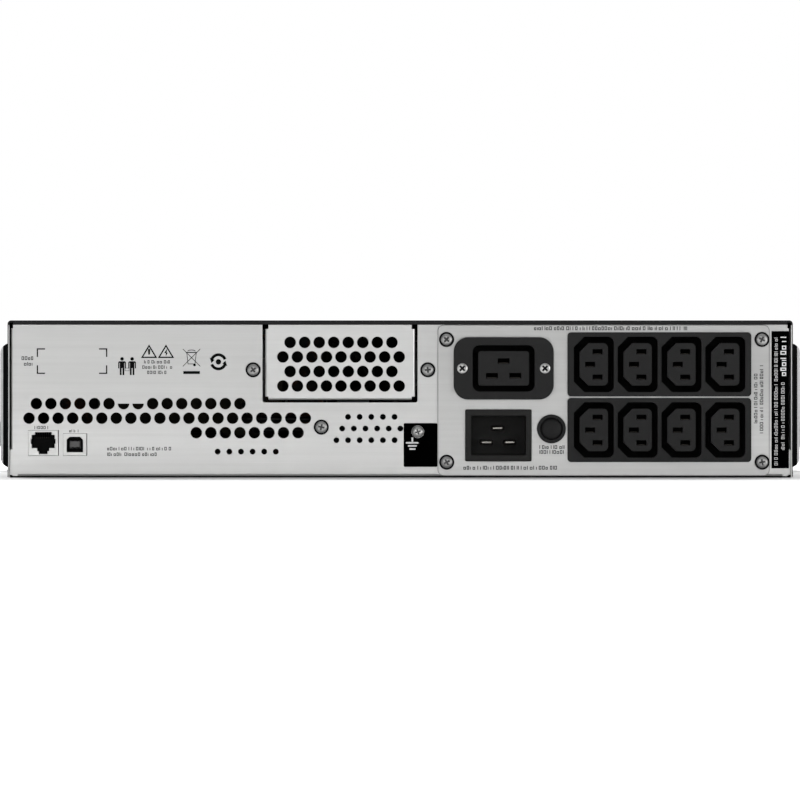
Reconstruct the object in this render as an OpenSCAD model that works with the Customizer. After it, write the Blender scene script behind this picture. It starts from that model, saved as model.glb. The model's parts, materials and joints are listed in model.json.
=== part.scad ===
// Two-unit rackmount UPS. Front faces -Y, connectors are on the +Y face, the bottom pan lies on z = 0.
// The origin is the bottom centre of the whole unit's box.

/* [Enclosure] */
// Outside width of the enclosure
body_w = 432; // [430:0.5:434]
// Outside height of the enclosure
body_h = 86.5; // [86:0.1:88]
// Depth from the front of the bezel to the last connector face
overall_d = 660; // [640:5:700]
// Width across the rack ears and the bezel
panel_w = 482.6; // [482:0.1:484]
// Depth of the front bezel
bezel_d = 40; // [38:1:50]
// Thickness of the panel sheet
sheet = 1.2; // [1:0.1:1.3]
// Thickness of the folded cover
cover_t = 1; // [0.8:0.1:1.1]
// Thickness of the bottom pan
pan_t = 1.5; // [1.2:0.1:1.6]

/* [Rear vents] */
// Diameter of the large vent holes
vent_d = 6.35; // [5:0.05:6.8]
// Distance between large vent holes, both ways
vent_pitch = 8; // [7.8:0.05:8.05]
// Diameter of the small vent holes
pin_vent_d = 3.2; // [2.5:0.1:4]
// Distance between small vent holes
pin_pitch = 6.4; // [6.3:0.05:6.45]

/* [Connectors] */
// Distance between 10 A outlets in a gang
outlet_pitch = 24.1; // [23.8:0.1:24.3]
// Width of a 10 A outlet's recess
outlet_recess_w = 22; // [21:0.5:22.5]
// Height of a 10 A outlet's recess
outlet_recess_h = 30.5; // [29:0.5:31]
// Height of the frame round four outlets
gang_h = 35.3; // [34:0.1:35.6]
// Width of the frame round four outlets
gang_w = 101.1; // [100:0.1:102]

/* [Battery drawer] */
// Length of one battery across the drawer
battery_w = 90; // [85:1:90]
// Depth of one battery along the drawer
battery_d = 101; // [95:1:102]
// Height of one battery lying on its side
battery_h = 70; // [65:1:70]
// Length of the drawer's handle arm
handle_arm = 20; // [16:1:20]

/* [Rack ears] */
// Distance between the two rack slots of one ear
ear_slot_pitch = 44.45; // [44.45:0.01:44.45]
// Distance between the rack slots of the two ears
rack_slot_span = 465.1; // [465:0.1:465.2]
// Height of an ear
ear_h = 75; // [70:1:75]

/* [Fans] */
// Outside size of a fan
fan_size = 80; // [76:1:80]

/* [Hidden] */
$fn = 48;
eps = 0.01;

ear_t = 2;
flange_y = -overall_d / 2 + bezel_d; // rear face of the rack ears, which is also the front of the sheet metal
rear_proud = 4;                      // how far the highest connector stands out of the rear panel
rear_y = overall_d / 2 - rear_proud;
inner_w = body_w - 2 * cover_t - 0.2;
pan_lip = 15;
corner_r = 2;
cover_h = body_h - 0.3;
cover_hem = 1.2;
cover_lip = 1;
panel_v0 = 0.9;
panel_v1 = body_h - cover_t - cover_hem - 0.2;
panel_flange = 9;
panel_half = inner_w / 2 - 0.6;
panel_corner = 2;
bend_r = 1.3; // outside radius of the sheet's bends
pan_step = panel_v0 + sheet + 0.1; // rise of the pan's rear edge, which lies on the rear panel's flange
cover_screw_y = [-180, 0, 180];
cover_screw_z = 9;
ear_screw_y = [12, 44]; // behind the ears' flange
ear_screw_z = [20, 60];
screw_hole_r = 2.1;

// Rear layout, seen from behind: u to the right of the centre, v up from the bottom
vent_u0 = -200.2;
vent_v = [40.7, 32.7, 24.7];
half_vents = [6, 7];
pin_u = -3.1;
pin_v = [33.4, 27.0, 20.6];
low_pin_u = -100.4;
low_pin_v = 14.3;
slot_u0 = -75.8;
slot_u1 = 9.6;
slot_v0 = 41.3;
slot_gap = 1.4;
slot_corner = 1.5;
slot_flange = 11;
slot_vent_u = 0.54; // the cover's holes sit a little to the right of its middle
slot_vent_v = 74.4;
slot_screw_l = 14;
cage_d = 100;
plate_u0 = 20.6;
plate_u1 = 203.2;
plate_v0 = 1;
plate_v1 = 84;
plate_t = 1.2;
plate_screws = [[25.5, 76], [25.6, 8.5], [199, 76], [199.1, 8.5]];
slot_screws = [[-80.9, 59.3], [15.2, 59.3]];
low_screw = [-43.4, 27.8];
ground_at = [1.9, 5.9];
ground_size = [18.6, 24.1];
ground_screw_at = [9.7, 25.2];
side_label_at = [204.3, 5.1];
side_label_size = [9.6, 75.5];
label_t = 0.15;
gang_u = 142.55;
gang_v = [62.3, 26.2];
gang_t = 1.6;
gang_body_d = 26;
insert_w = 15.6;
insert_h = 23.4;
recess_depth = 17;
hc_at = [56.9, 60.1];
hc_flange = [55, 34.3];
hc_flange_t = rear_proud - plate_t;
hc_recess = [34.1, 25.5];
hc_insert = [28, 19];
hc_screw_span = 45.5;
inlet_at = [54, 23.2];
inlet_size = [36.6, 28.6];
inlet_recess = [30.1, 21.6];
inlet_t = 2.2;
breaker_at = [83.2, 26.8];
breaker_d = 15.9;
breaker_rim = 1.9;
breaker_button_d = 12;
breaker_stem_d = 6;
breaker_travel = 4;
serial_at = [-196.4, 19.1];
serial_size = [16.4, 13.8];
usb_at = [-179, 18.2];
usb_size = [12.8, 12];
port_d = 16;
port_proud = 0.2;

// Front layout: x across, z up
bay_x = [-172, 201];
bay_z = [3, 77.5];
glide_t = 2;
tray_t = sheet;
tray_x = [bay_x[0] + 1.5, bay_x[1] - 1.5];
tray_z = pan_t + glide_t;
tray_wall = 30;
tray_y1 = flange_y + 229.2;
tray_y0 = flange_y - 0.4;
drawer_plate_x = [-183, 214];
drawer_plate_z = [2.2, 82];
drawer_cx = (bay_x[0] + bay_x[1]) / 2;
thumb_x = [-177.5, 207.5];
thumb_z = 60;
handle_z = 56;
handle_half = 30;
wire_r = 2;
pivot_out = 5;
pivot_clear = 0.06;
battery_gap = 17;
battery_x0 = tray_x[1] - tray_t - 0.4 - 4 * battery_w;
battery_z0 = tray_z + tray_t + 0.2;
battery_y0 = flange_y + 3;
plug_x = -128;
plug_z = 40;
plug_half = 9; // from the middle of the battery connector to either contact
bulkhead_y = -30;
fan_x = [-45, 55];
fan_d = 25;
fan_clear = 0.6;
control_x = [-213, -186];
control_z = [8, 79];
control_post_z = [12, 76];
button_at = [[-199.5, 35], [-199.5, 20]];
button_size = [15, 9];
button_travel = 1.5;
window_z = [45, 78];
switch_w = 14; // how far the switch plungers stand in front of the ears' rear face
peg_x = 228;
peg_r = 2;

// Board and power parts
board_x = [-208, -6];
board_y = [8, 284];
board_z = 12;
board_t = 1.6;
sink_l = 200;
comm_x = [170, 207];
comm_y = [rear_y - 62, rear_y - 4];
comm_rear_margin = 14; // its rear spacers stand clear of the pan's stepped edge
comm_top = serial_at[1] - serial_size[1] / 2;
transformer_at = [118, 70, 42];
core_size = [148, 100, 76];
core_window = [34, 44];
coil_l = 136;

// ---------- helpers ----------

// Children drawn in (u, v, w), seen from behind: u right, v up, w out of the rear panel
module at_rear(u = 0, v = 0, w = 0)
    translate([0, rear_y, 0]) rotate([90, 0, 180]) translate([u, v, w]) children();

// Children drawn in (u, v, w), seen from the front: u right, v up, w towards the viewer
module at_front(u = 0, v = 0, w = 0)
    translate([0, flange_y, 0]) rotate([90, 0, 0]) translate([u, v, w]) children();

// Box between two corners
module span(a, b) translate(a) cube(b - a);

// Rectangle centred on the origin with round corners
module round_rect(w, h, r) {
    square([w - 2 * r, h], center = true);
    square([w, h - 2 * r], center = true);
    for (x = [-1, 1], y = [-1, 1]) translate([x * (w / 2 - r), y * (h / 2 - r)]) circle(r = r);
}

module round_slab(w, h, r, t) linear_extrude(t) round_rect(w, h, r);

// Outline of a 10 A outlet: cut corners at the left, round corners at the right
module keyed_outline(w, h, cut, r) {
    polygon([[-w / 2, -h / 2 + cut], [-w / 2 + cut, -h / 2], [w / 2 - r, -h / 2],
             [w / 2 - r, h / 2], [-w / 2 + cut, h / 2], [-w / 2, h / 2 - cut]]);
    translate([0, -h / 2 + r]) square([w / 2, h - 2 * r]);
    for (y = [-1, 1]) translate([w / 2 - r, y * (h / 2 - r)]) circle(r = r);
}

// Pan-head cross screw standing on z = 0, shank below
module pan_screw(head_d, head_h, shank_d, shank_l, cross_l) {
    difference() {
        union() {
            intersection() {
                cylinder(d = head_d, h = head_h);
                translate([0, 0, head_h - head_d]) sphere(r = head_d);
            }
            translate([0, 0, -shank_l]) cylinder(d = shank_d, h = shank_l + eps);
        }
        for (a = [0, 90]) rotate(a) translate([-cross_l / 2, -0.55, head_h * 0.35])
            cube([cross_l, 1.1, head_h]);
    }
}

// Screw with a captive washer, as used on the rear sheet metal
module washer_screw(shank_l = 5) {
    cylinder(d = 8, h = 0.7);
    translate([0, 0, 0.7]) pan_screw(6.6, 1.7, 3.6, shank_l + 0.7, 3.8);
}

// Round lead along a list of points, as one tube with flat sides
lead_sides = 8;
function unit(v) = v / norm(v);
function lead_dir(p, i) = unit(p[min(i + 1, len(p) - 1)] - p[max(i - 1, 0)]);
function lead_side(d) = unit(cross(d, abs(d.z) > 0.9 ? [1, 0, 0] : [0, 0, 1]));
function lead_ring(c, d, r) = let (s = lead_side(d), t = cross(s, d))
    [for (k = [0:lead_sides - 1]) c + r * (cos(360 * k / lead_sides) * s + sin(360 * k / lead_sides) * t)];
module lead(p, r) {
    n = len(p);
    points = [for (i = [0:n - 1]) each lead_ring(p[i], lead_dir(p, i), r)];
    sides = [for (i = [0:n - 2], k = [0:lead_sides - 1]) let (k2 = (k + 1) % lead_sides)
        [i * lead_sides + k, i * lead_sides + k2, (i + 1) * lead_sides + k2, (i + 1) * lead_sides + k]];
    first_cap = [[for (k = [lead_sides - 1:-1:0]) k]];
    last_cap = [[for (k = [0:lead_sides - 1]) (n - 1) * lead_sides + k]];
    polyhedron(points, concat(sides, first_cap, last_cap));
}

// Corner arc between three points, so that a lead turns smoothly
function bend(a, b, c, r, steps = 4) = let (p = b + r * unit(a - b), q = b + r * unit(c - b))
    [for (i = [0:steps]) let (t = i / steps) (1 - t) * (1 - t) * p + 2 * t * (1 - t) * b + t * t * q];
function route(p, r) =
    [p[0], each [for (i = [1:len(p) - 2]) each bend(p[i - 1], p[i], p[i + 1], r)], p[len(p) - 1]];

// ---------- enclosure ----------

// Bottom pan with low side walls. Its rear edge steps up over the flange of the rear panel.
module base_pan() color([0.13, 0.13, 0.14]) difference() {
    half = inner_w / 2;
    step_y = rear_y - panel_flange - 3;
    edge_y = rear_y - sheet - 0.2;
    union() {
        span([-half, flange_y, 0], [half, step_y, pan_t]);
        span([-half, step_y - pan_t, 0], [half, step_y, pan_step + pan_t]);
        span([-half, step_y - eps, pan_step], [half, rear_y - bend_r - 0.1, pan_step + pan_t]);
        for (s = [0, 1]) mirror([s, 0, 0])
            span([half - pan_t, flange_y + 3, pan_t - eps], [half, edge_y, pan_lip]);
    }
    for (x = [-1, 1], y = cover_screw_y) translate([x * half, y, cover_screw_z]) rotate([0, 90, 0])
        cylinder(r = 1.9, h = 8, center = true);
}

// Folded cover: top and both sides, round at the top edges, with a hem under the rear edge
module cover_section() difference() {
    translate([0, 0.3 + (cover_h + 20) / 2 - 20]) round_rect(body_w, cover_h + 20, corner_r);
    translate([0, 0.3 + (cover_h + 20) / 2 - 20 - cover_t])
        round_rect(body_w - 2 * cover_t, cover_h + 20, corner_r - cover_t);
    translate([-body_w, -50]) square([2 * body_w, 50.3]);
}
module side_vents() for (i = [0:17]) translate([0, 40 + i * 14, 30])
    rotate([90, 0, 90]) translate([0, 0, -body_w]) linear_extrude(2 * body_w)
        translate([0, 18]) round_rect(4, 32, 1.9);
module top_cover() color([0.1, 0.1, 0.11]) difference() {
    union() {
        translate([0, rear_y + cover_lip, 0]) rotate([90, 0, 0])
            linear_extrude(rear_y + cover_lip - flange_y) cover_section();
        span([-inner_w / 2 + 2, rear_y - 9, body_h - cover_t - cover_hem],
             [inner_w / 2 - 2, rear_y + cover_lip, body_h - cover_t + eps]);
    }
    side_vents();
    for (x = [-1, 1], y = cover_screw_y) translate([x * body_w / 2, y, cover_screw_z]) rotate([0, 90, 0])
        cylinder(r = screw_hole_r, h = 8, center = true);
    for (x = [-1, 1], y = ear_screw_y, z = ear_screw_z)
        translate([x * body_w / 2, flange_y + y, z]) rotate([0, 90, 0])
            cylinder(r = screw_hole_r, h = 8, center = true);
}
module cover_screws() color([0.2, 0.2, 0.21]) for (s = [0, 1]) mirror([s, 0, 0])
    for (y = cover_screw_y) translate([body_w / 2, y, cover_screw_z]) rotate([0, 90, 0])
        pan_screw(6.6, 1.7, 3.6, 5, 3.8);

// Edge of a sheet that turns back through a quarter circle into a flange, drawn with the outside at the right
module bent_edge(depth) {
    intersection() {
        difference() {
            circle(r = bend_r);
            circle(r = bend_r - sheet);
        }
        square(bend_r);
    }
    translate([bend_r - sheet, bend_r - depth]) square([sheet, depth - bend_r + eps]);
}
// The same edge standing along v, at the right-hand (side = 0) or left-hand (side = 1) edge u, from v0 to v1
module side_bend(u, side, v0, v1, depth, w = 0)
    at_rear(u, v1, w - bend_r) mirror([side, 0, 0]) rotate([90, 0, 0])
        linear_extrude(v1 - v0) translate([-bend_r, 0]) bent_edge(depth);
// The same edge lying along u, at the lower edge v, from u0 to u1
module bottom_bend(v, u0, u1, depth, w = 0) at_rear(u0, v, w - bend_r) rotate([90, 0, 90])
    linear_extrude(u1 - u0) translate([bend_r, 0]) mirror([1, 0]) bent_edge(depth);

module rear_outline() difference() {
    union() {
        translate([-panel_half + bend_r, panel_v0 + bend_r])
            square([2 * (panel_half - bend_r), panel_v1 - panel_v0 - bend_r]);
        // flat lower corners, beside the pan's side walls
        for (s = [0, 1]) mirror([s, 0]) intersection() {
            translate([panel_half - 2 * panel_corner, pan_lip + 0.6 - panel_half])
                square([2 * panel_corner, panel_half]);
            translate([0, panel_v0 + panel_half]) round_rect(2 * panel_half, 2 * panel_half, panel_corner);
        }
    }
    translate([(slot_u0 + slot_u1) / 2, slot_v0 + panel_v1 / 2])
        round_rect(slot_u1 - slot_u0, panel_v1, slot_corner);
    for (i = [0:14]) translate([vent_u0 + i * vent_pitch, vent_v[0]])
        if (len(search(i, half_vents)) > 0) intersection() {
            circle(d = vent_d);
            translate([-vent_d, -vent_d]) square([2 * vent_d, vent_d]);
        }
        else circle(d = vent_d);
    for (i = [0:19]) translate([vent_u0 + (i - 0.5) * vent_pitch, vent_v[1]]) circle(d = vent_d);
    for (i = [11:18]) translate([vent_u0 + i * vent_pitch, vent_v[2]]) circle(d = vent_d);
    for (i = [0:4]) translate([pin_u - i * pin_pitch, pin_v[0]]) circle(d = pin_vent_d);
    for (i = [0:5]) translate([pin_u - (i - 0.5) * pin_pitch, pin_v[1]]) circle(d = pin_vent_d);
    for (i = [0:5]) translate([pin_u - i * pin_pitch, pin_v[2]]) circle(d = pin_vent_d);
    for (i = [0:5]) translate([low_pin_u + i * pin_pitch, low_pin_v]) circle(d = pin_vent_d);
    // the cut-outs for the two ports leave a little more room at the right
    for (p = [[serial_at, serial_size], [usb_at, usb_size]])
        translate(p[0] + [0.15, 0]) square(p[1] + [0.5, 0.3], center = true);
    translate([plate_u0 + 10, 5]) square([plate_u1 - plate_u0 - 20, 75]);
    for (p = concat(slot_screws, plate_screws, [low_screw, ground_screw_at])) translate(p) circle(r = 2);
}
module rear_panel() color([0.78, 0.78, 0.77]) {
    at_rear(0, 0, -sheet) linear_extrude(sheet) rear_outline();
    bottom_bend(panel_v0, -panel_half + 2 * panel_corner, panel_half - 2 * panel_corner, panel_flange);
    for (s = [0, 1]) side_bend((1 - 2 * s) * panel_half, s, pan_lip + 0.8, panel_v1 - 2, panel_flange);
    for (part = [[-panel_half + 4, slot_u0 - 3], [slot_u1 + 3, panel_half - 4]])
        at_rear(part[0], panel_v1 - sheet, -panel_flange)
            cube([part[1] - part[0], sheet, panel_flange - sheet + eps]);
}

module front_frame() color([0.72, 0.72, 0.72]) difference() {
    span([-inner_w / 2, flange_y, pan_t + 0.1], [inner_w / 2, flange_y + sheet, panel_v1]);
    span([bay_x[0], flange_y - 1, bay_z[0] - 2], [bay_x[1], flange_y + 4, bay_z[1]]);
    span([control_x[0] + 2, flange_y - 1, 30], [control_x[1] - 3, flange_y + 4, 74]);
    for (x = thumb_x) translate([x, flange_y, thumb_z]) rotate([90, 0, 0])
        cylinder(r = 2.3, h = 8, center = true);
    for (z = control_post_z) translate([button_at[0][0], flange_y, z]) rotate([90, 0, 0])
        cylinder(r = 1.6, h = 8, center = true);
}

module mid_bulkhead() color([0.72, 0.72, 0.72]) difference() {
    half = inner_w / 2 - pan_t - 0.3;
    span([-half, bulkhead_y, pan_t + 0.1], [half, bulkhead_y + sheet, 83]);
    for (x = fan_x) translate([x, bulkhead_y, body_h / 2 - 0.5]) rotate([90, 0, 0])
        cylinder(r = fan_size / 2 - 3, h = 8, center = true);
    span([plug_x - 18.2, bulkhead_y - 2, plug_z - 10.2], [plug_x + 18.2, bulkhead_y + 3, plug_z + 10.2]);
    for (x = fan_x, a = [-1, 1], b = [-1, 1])
        translate([x + a * (fan_size / 2 - 4.3), bulkhead_y, body_h / 2 - 0.5 + b * (fan_size / 2 - 4.3)])
            rotate([90, 0, 0]) cylinder(r = 2.1, h = 8, center = true);
}

module drawer_glides() color([0.85, 0.85, 0.82]) for (x = [bay_x[0] + 20, drawer_cx, bay_x[1] - 20])
    span([x - 8, flange_y + 3, pan_t], [x + 8, bulkhead_y - 6, pan_t + glide_t]);

// One ear: a plate against the cover's side and a flange with two rack slots
rack_slot_w = 10.3;
rack_slot_h = 6.8;
module rack_slot() {
    square([rack_slot_w - rack_slot_h, rack_slot_h], center = true);
    for (s = [-1, 1]) translate([s * (rack_slot_w - rack_slot_h) / 2, 0]) circle(d = rack_slot_h);
}
module ear() {
    z0 = 2;
    out = panel_w / 2 - 2.1 - body_w / 2;
    difference() {
        span([body_w / 2 + 0.1, flange_y - ear_t + eps, z0],
             [body_w / 2 + 0.1 + ear_t, flange_y + 60, z0 + ear_h]);
        for (y = ear_screw_y, z = ear_screw_z) translate([body_w / 2, flange_y + y, z]) rotate([0, 90, 0])
            cylinder(r = screw_hole_r, h = 12, center = true);
    }
    at_front(body_w / 2 + 0.1 + out / 2, z0 + ear_h / 2) linear_extrude(ear_t) difference() {
        union() {
            round_rect(out, ear_h, 4);
            translate([-out / 2, -ear_h / 2]) square([out / 2, ear_h]);
        }
        for (s = [-1, 1]) translate([rack_slot_span / 2 - body_w / 2 - 0.1 - out / 2,
                                     body_h / 2 + s * ear_slot_pitch / 2 - z0 - ear_h / 2]) rack_slot();
        translate([peg_x - body_w / 2 - 0.1 - out / 2, body_h / 2 - z0 - ear_h / 2]) circle(r = peg_r + 0.5);
    }
}
module ear_left() color([0.07, 0.07, 0.08]) mirror([1, 0, 0]) ear();
module ear_right() color([0.07, 0.07, 0.08]) ear();
module ear_screws() color([0.25, 0.25, 0.26]) for (s = [0, 1], y = ear_screw_y, z = ear_screw_z)
    mirror([s, 0, 0]) translate([body_w / 2 + 0.1 + ear_t, flange_y + y, z]) rotate([0, 90, 0])
        pan_screw(7, 1.8, 3.8, 7, 4);

// ---------- rear face ----------

module output_panel() color([0.8, 0.8, 0.79]) at_rear() linear_extrude(plate_t) difference() {
    translate([(plate_u0 + plate_u1) / 2, (plate_v0 + plate_v1) / 2])
        round_rect(plate_u1 - plate_u0, plate_v1 - plate_v0, 3.2);
    translate(hc_at) square([37.4, 29.4], center = true);
    translate(inlet_at) square([33.4, 25.4], center = true);
    translate(breaker_at) circle(r = 6);
    for (v = gang_v) translate([gang_u, v]) square([gang_w - 2.6, gang_h - 2.6], center = true);
    for (p = plate_screws) translate(p) circle(r = 2);
    for (s = [-1, 1]) translate([hc_at[0] + s * hc_screw_span / 2, hc_at[1]]) circle(r = 1.6);
}
module panel_screws() color([0.55, 0.55, 0.55]) for (p = plate_screws)
    at_rear(p[0], p[1], plate_t) washer_screw();
module rear_screws() color([0.55, 0.55, 0.55]) {
    for (p = slot_screws) at_rear(p[0], p[1]) washer_screw(slot_screw_l);
    at_rear(low_screw[0], low_screw[1]) washer_screw();
}

// Perforated blanking plate of the accessory slot. Its sides fold in, and tabs at their inner edges turn
// outwards behind the two long screws.
slot_cover_w = -0.2; // the cover lies a little below the panel's face
module slot_cover() color([0.78, 0.78, 0.77]) {
    u0 = slot_u0 + slot_gap;
    u1 = slot_u1 - slot_gap;
    v0 = slot_v0 + slot_gap;
    mid = (u0 + u1) / 2 + slot_vent_u;
    relief = 1.9;
    top = panel_v1 - relief - 0.4;
    at_rear(0, 0, slot_cover_w - sheet) linear_extrude(sheet) difference() {
        translate([u0 + bend_r, v0 + bend_r]) square([u1 - u0 - 2 * bend_r, panel_v1 - v0 - bend_r]);
        for (row = [0:3], i = [0:7 + row % 2])
            translate([mid + (i - (7 + row % 2) / 2) * vent_pitch, slot_vent_v - row * vent_pitch])
                circle(d = vent_d);
        for (u = [u0, u1]) {
            translate([u, v0]) square(2 * relief, center = true);
            translate([u, panel_v1]) square([2 * relief, 2 * relief + 0.8], center = true);
        }
    }
    side_bend(u1, 0, v0 + relief, top, slot_flange, slot_cover_w);
    side_bend(u0, 1, v0 + relief, top, slot_flange, slot_cover_w);
    bottom_bend(v0, u0 + relief, u1 - relief, slot_flange, slot_cover_w);
    slot_tabs(u0 + sheet, u1 - sheet, 12, slot_cover_w - slot_flange);
}
// Tabs of this height that reach outwards from u0 and u1 and have the two screws through them
module slot_tabs(u0, u1, height, w) for (tab = [[u0 - 12, u0, slot_screws[0]], [u1, u1 + 12, slot_screws[1]]])
    difference() {
        at_rear(tab[0], tab[2][1] - height / 2, w) cube([tab[1] - tab[0], height, sheet]);
        at_rear(tab[2][0], tab[2][1], w - 1) cylinder(r = 2, h = sheet + 2);
    }

// Card cage behind the slot, held by the same two screws
module slot_cage() color([0.7, 0.7, 0.7]) {
    u0 = slot_u0 - 1;
    u1 = slot_u1 - 0.2;
    front = slot_cover_w - slot_flange - 0.05;
    for (u = [u0, u1]) at_rear(u, slot_v0 - sheet, front - cage_d) cube([sheet, 36, cage_d]);
    at_rear(u0, slot_v0 - sheet, front - cage_d) cube([u1 - u0 + sheet, sheet, cage_d - 0.1]);
    slot_tabs(u0 + eps, u1 + sheet - eps, 20, front - sheet);
}

module ground_label() color([0.02, 0.02, 0.02]) difference() {
    at_rear(ground_at[0] + ground_size[0] / 2, ground_at[1] + ground_size[1] / 2)
        round_slab(ground_size[0], ground_size[1], 0.8, label_t);
    at_rear(ground_screw_at[0], ground_screw_at[1], -1) cylinder(r = 3.4, h = 3);
}
module ground_screw() color([0.6, 0.6, 0.6]) at_rear(ground_screw_at[0], ground_screw_at[1])
    pan_screw(6.4, 2.2, 3.8, 9, 4);
module side_label() color([0.02, 0.02, 0.02]) at_rear(side_label_at[0], side_label_at[1])
    cube([side_label_size[0], side_label_size[1], label_t]);

// Flange-mounted 16 A outlet
hc_slots = [[0, 4.1, 6.4, 2.9], [-6.4, -4, 6.6, 2.9], [6.4, -4, 6.6, 2.9]];
module high_current_outlet() color([0.13, 0.13, 0.14]) at_rear(hc_at[0], hc_at[1], plate_t) {
    difference() {
        union() {
            round_slab(hc_flange[0], hc_flange[1], 8, hc_flange_t);
            translate([0, 0, -28]) linear_extrude(28 + eps) square([37, 29], center = true);
        }
        translate([0, 0, hc_flange_t - recess_depth])
            round_slab(hc_recess[0], hc_recess[1], 3.8, recess_depth + 1);
        for (s = [-1, 1]) translate([s * hc_screw_span / 2, 0, 0]) {
            translate([0, 0, -1]) cylinder(r = 1.6, h = 8);
            translate([0, 0, hc_flange_t - 1.4]) cylinder(r1 = 1.6, r2 = 3, h = 1.4 + eps);
        }
    }
    difference() {
        translate([0, 0, hc_flange_t - recess_depth - eps])
            round_slab(hc_insert[0], hc_insert[1], 1.6, recess_depth - 0.6);
        for (s = hc_slots) translate([s[0], s[1], -9]) linear_extrude(20) square([s[2], s[3]], center = true);
    }
}
module flange_screws() color([0.75, 0.75, 0.75]) for (s = [-1, 1])
    at_rear(hc_at[0] + s * hc_screw_span / 2, hc_at[1], rear_proud - 0.05) difference() {
        union() {
            translate([0, 0, -1.35]) cylinder(r1 = 1.5, r2 = 2.9, h = 1.35);
            translate([0, 0, -10]) cylinder(r = 1.5, h = 10 - 1.3);
        }
        for (a = [45, 135]) rotate(a) translate([-1.9, -0.5, -1]) cube([3.8, 1, 2]);
    }

// Snap-in 16 A inlet with its three blades
inlet_blades = [[-0.4, 4], [-6.6, -3.8], [6.2, -3.8]];
module power_inlet() color([0.13, 0.13, 0.14]) at_rear(inlet_at[0], inlet_at[1], plate_t) difference() {
    union() {
        round_slab(inlet_size[0], inlet_size[1], 0.9, inlet_t);
        translate([0, 0, -28]) linear_extrude(28 + eps) square([33, 25], center = true);
    }
    translate([0, 0, inlet_t - recess_depth])
        round_slab(inlet_recess[0], inlet_recess[1], 1, recess_depth + 1);
    for (b = inlet_blades) translate([b[0], b[1], -30]) linear_extrude(30) square([6.2, 2.2], center = true);
}
module inlet_pins() color([0.75, 0.72, 0.62]) for (b = inlet_blades)
    at_rear(inlet_at[0] + b[0], inlet_at[1] + b[1], -32) linear_extrude(29) square([6, 2], center = true);

// A frame of four 10 A outlets
socket_slots = [[2.1, 7], [-2, 0], [2.1, -7]];
socket_slot = [5.5, 2.8];
module outlet_gang() {
    difference() {
        union() {
            round_slab(gang_w, gang_h, 2, gang_t);
            translate([0, 0, -gang_body_d]) linear_extrude(gang_body_d + eps)
                square([gang_w - 3, gang_h - 3], center = true);
        }
        for (i = [0:3]) translate([(i - 1.5) * outlet_pitch + 0.1, 0, gang_t - recess_depth])
            linear_extrude(recess_depth + 1) keyed_outline(outlet_recess_w, outlet_recess_h, 5.8, 3.4);
    }
    for (i = [0:3]) translate([(i - 1.5) * outlet_pitch + 0.1, 0, gang_t - recess_depth - eps]) difference() {
        linear_extrude(recess_depth - 0.6) keyed_outline(insert_w, insert_h, 4.9, 2.6);
        for (s = socket_slots) translate([s[0], s[1], 6]) linear_extrude(20)
            square(socket_slot, center = true);
    }
}
module outlet_gang_upper() color([0.13, 0.13, 0.14]) at_rear(gang_u, gang_v[0], plate_t) outlet_gang();
module outlet_gang_lower() color([0.13, 0.13, 0.14]) at_rear(gang_u, gang_v[1], plate_t) outlet_gang();
module outlet_contacts() color([0.8, 0.65, 0.3]) {
    for (v = gang_v, i = [0:3], s = socket_slots)
        at_rear(gang_u + (i - 1.5) * outlet_pitch + 0.1 + s[0], v + s[1] - 1.1, -8.1)
            linear_extrude(6) square([4, 0.5], center = true);
    for (s = hc_slots) at_rear(hc_at[0] + s[0], hc_at[1] + s[1] - 1.1, -7.7)
        linear_extrude(6) square([5.4, 0.6], center = true);
}

module breaker_body() color([0.1, 0.1, 0.11]) at_rear(breaker_at[0], breaker_at[1], plate_t) difference() {
    union() {
        cylinder(d = breaker_d, h = breaker_rim);
        translate([0, 0, -14]) cylinder(d = 11.8, h = 14 + eps);
        translate([0, 0, -26]) linear_extrude(14) square([13.6, 24], center = true);
    }
    translate([0, 0, 0.1]) cylinder(d = breaker_button_d + 0.5, h = 8);
    translate([0, 0, -10]) cylinder(d = breaker_stem_d + 0.5, h = 20);
}
module breaker_button() color([0.08, 0.08, 0.09]) at_rear(breaker_at[0], breaker_at[1], plate_t) {
    difference() {
        translate([0, 0, 0.2]) cylinder(d = breaker_button_d, h = breaker_rim - 0.3);
        translate([-0.8, -1.9, breaker_rim - 0.35]) cube([1.6, 3.8, 1]);
    }
    translate([0, 0, -9.8]) cylinder(d = breaker_stem_d, h = 10.1);
}

// Ten-way serial jack, latch side down
module jack_outline() {
    for (step = [[6.3, -2.8, 4.4], [6.8, -0.5, 2.1], [4.6, 4.3, 5.9], [3.3, -4.5, -2.7], [2.35, -6.1, -4.4]])
        translate([-step[0], step[1]]) square([2 * step[0], step[2] - step[1]]);
}
module serial_port() color([0.72, 0.72, 0.71]) at_rear(serial_at[0], serial_at[1], port_proud) difference() {
    translate([0, 0, -port_d]) linear_extrude(port_d) square(serial_size, center = true);
    translate([0, 0, -12]) linear_extrude(14) jack_outline();
}
module usb_outline() polygon([[-4.5, -4.2], [4.5, -4.2], [4.5, 2.6], [2.9, 4.2], [-2.9, 4.2], [-4.5, 2.6]]);
module usb_port() color([0.72, 0.72, 0.71]) at_rear(usb_at[0], usb_at[1], port_proud) {
    difference() {
        translate([0, 0, -port_d]) linear_extrude(port_d) square(usb_size, center = true);
        translate([0, 0, -11]) linear_extrude(14) usb_outline();
    }
    translate([0, 0.2, -11 - eps]) linear_extrude(9) square([5.4, 3.2], center = true);
}
module port_contacts() color([0.85, 0.7, 0.35]) {
    for (i = [0:7]) at_rear(serial_at[0] + (i - 3.5) * 1.02, serial_at[1] + 5.5, -11.5)
        rotate([24, 0, 0]) linear_extrude(7) square([0.4, 0.4], center = true);
    for (x = [-1, 1], y = [-1, 1]) at_rear(usb_at[0] + x * 1.3, usb_at[1] + 0.2 + y * 1.75, -10.7)
        linear_extrude(6.5) square([1, 0.28], center = true);
}
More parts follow.
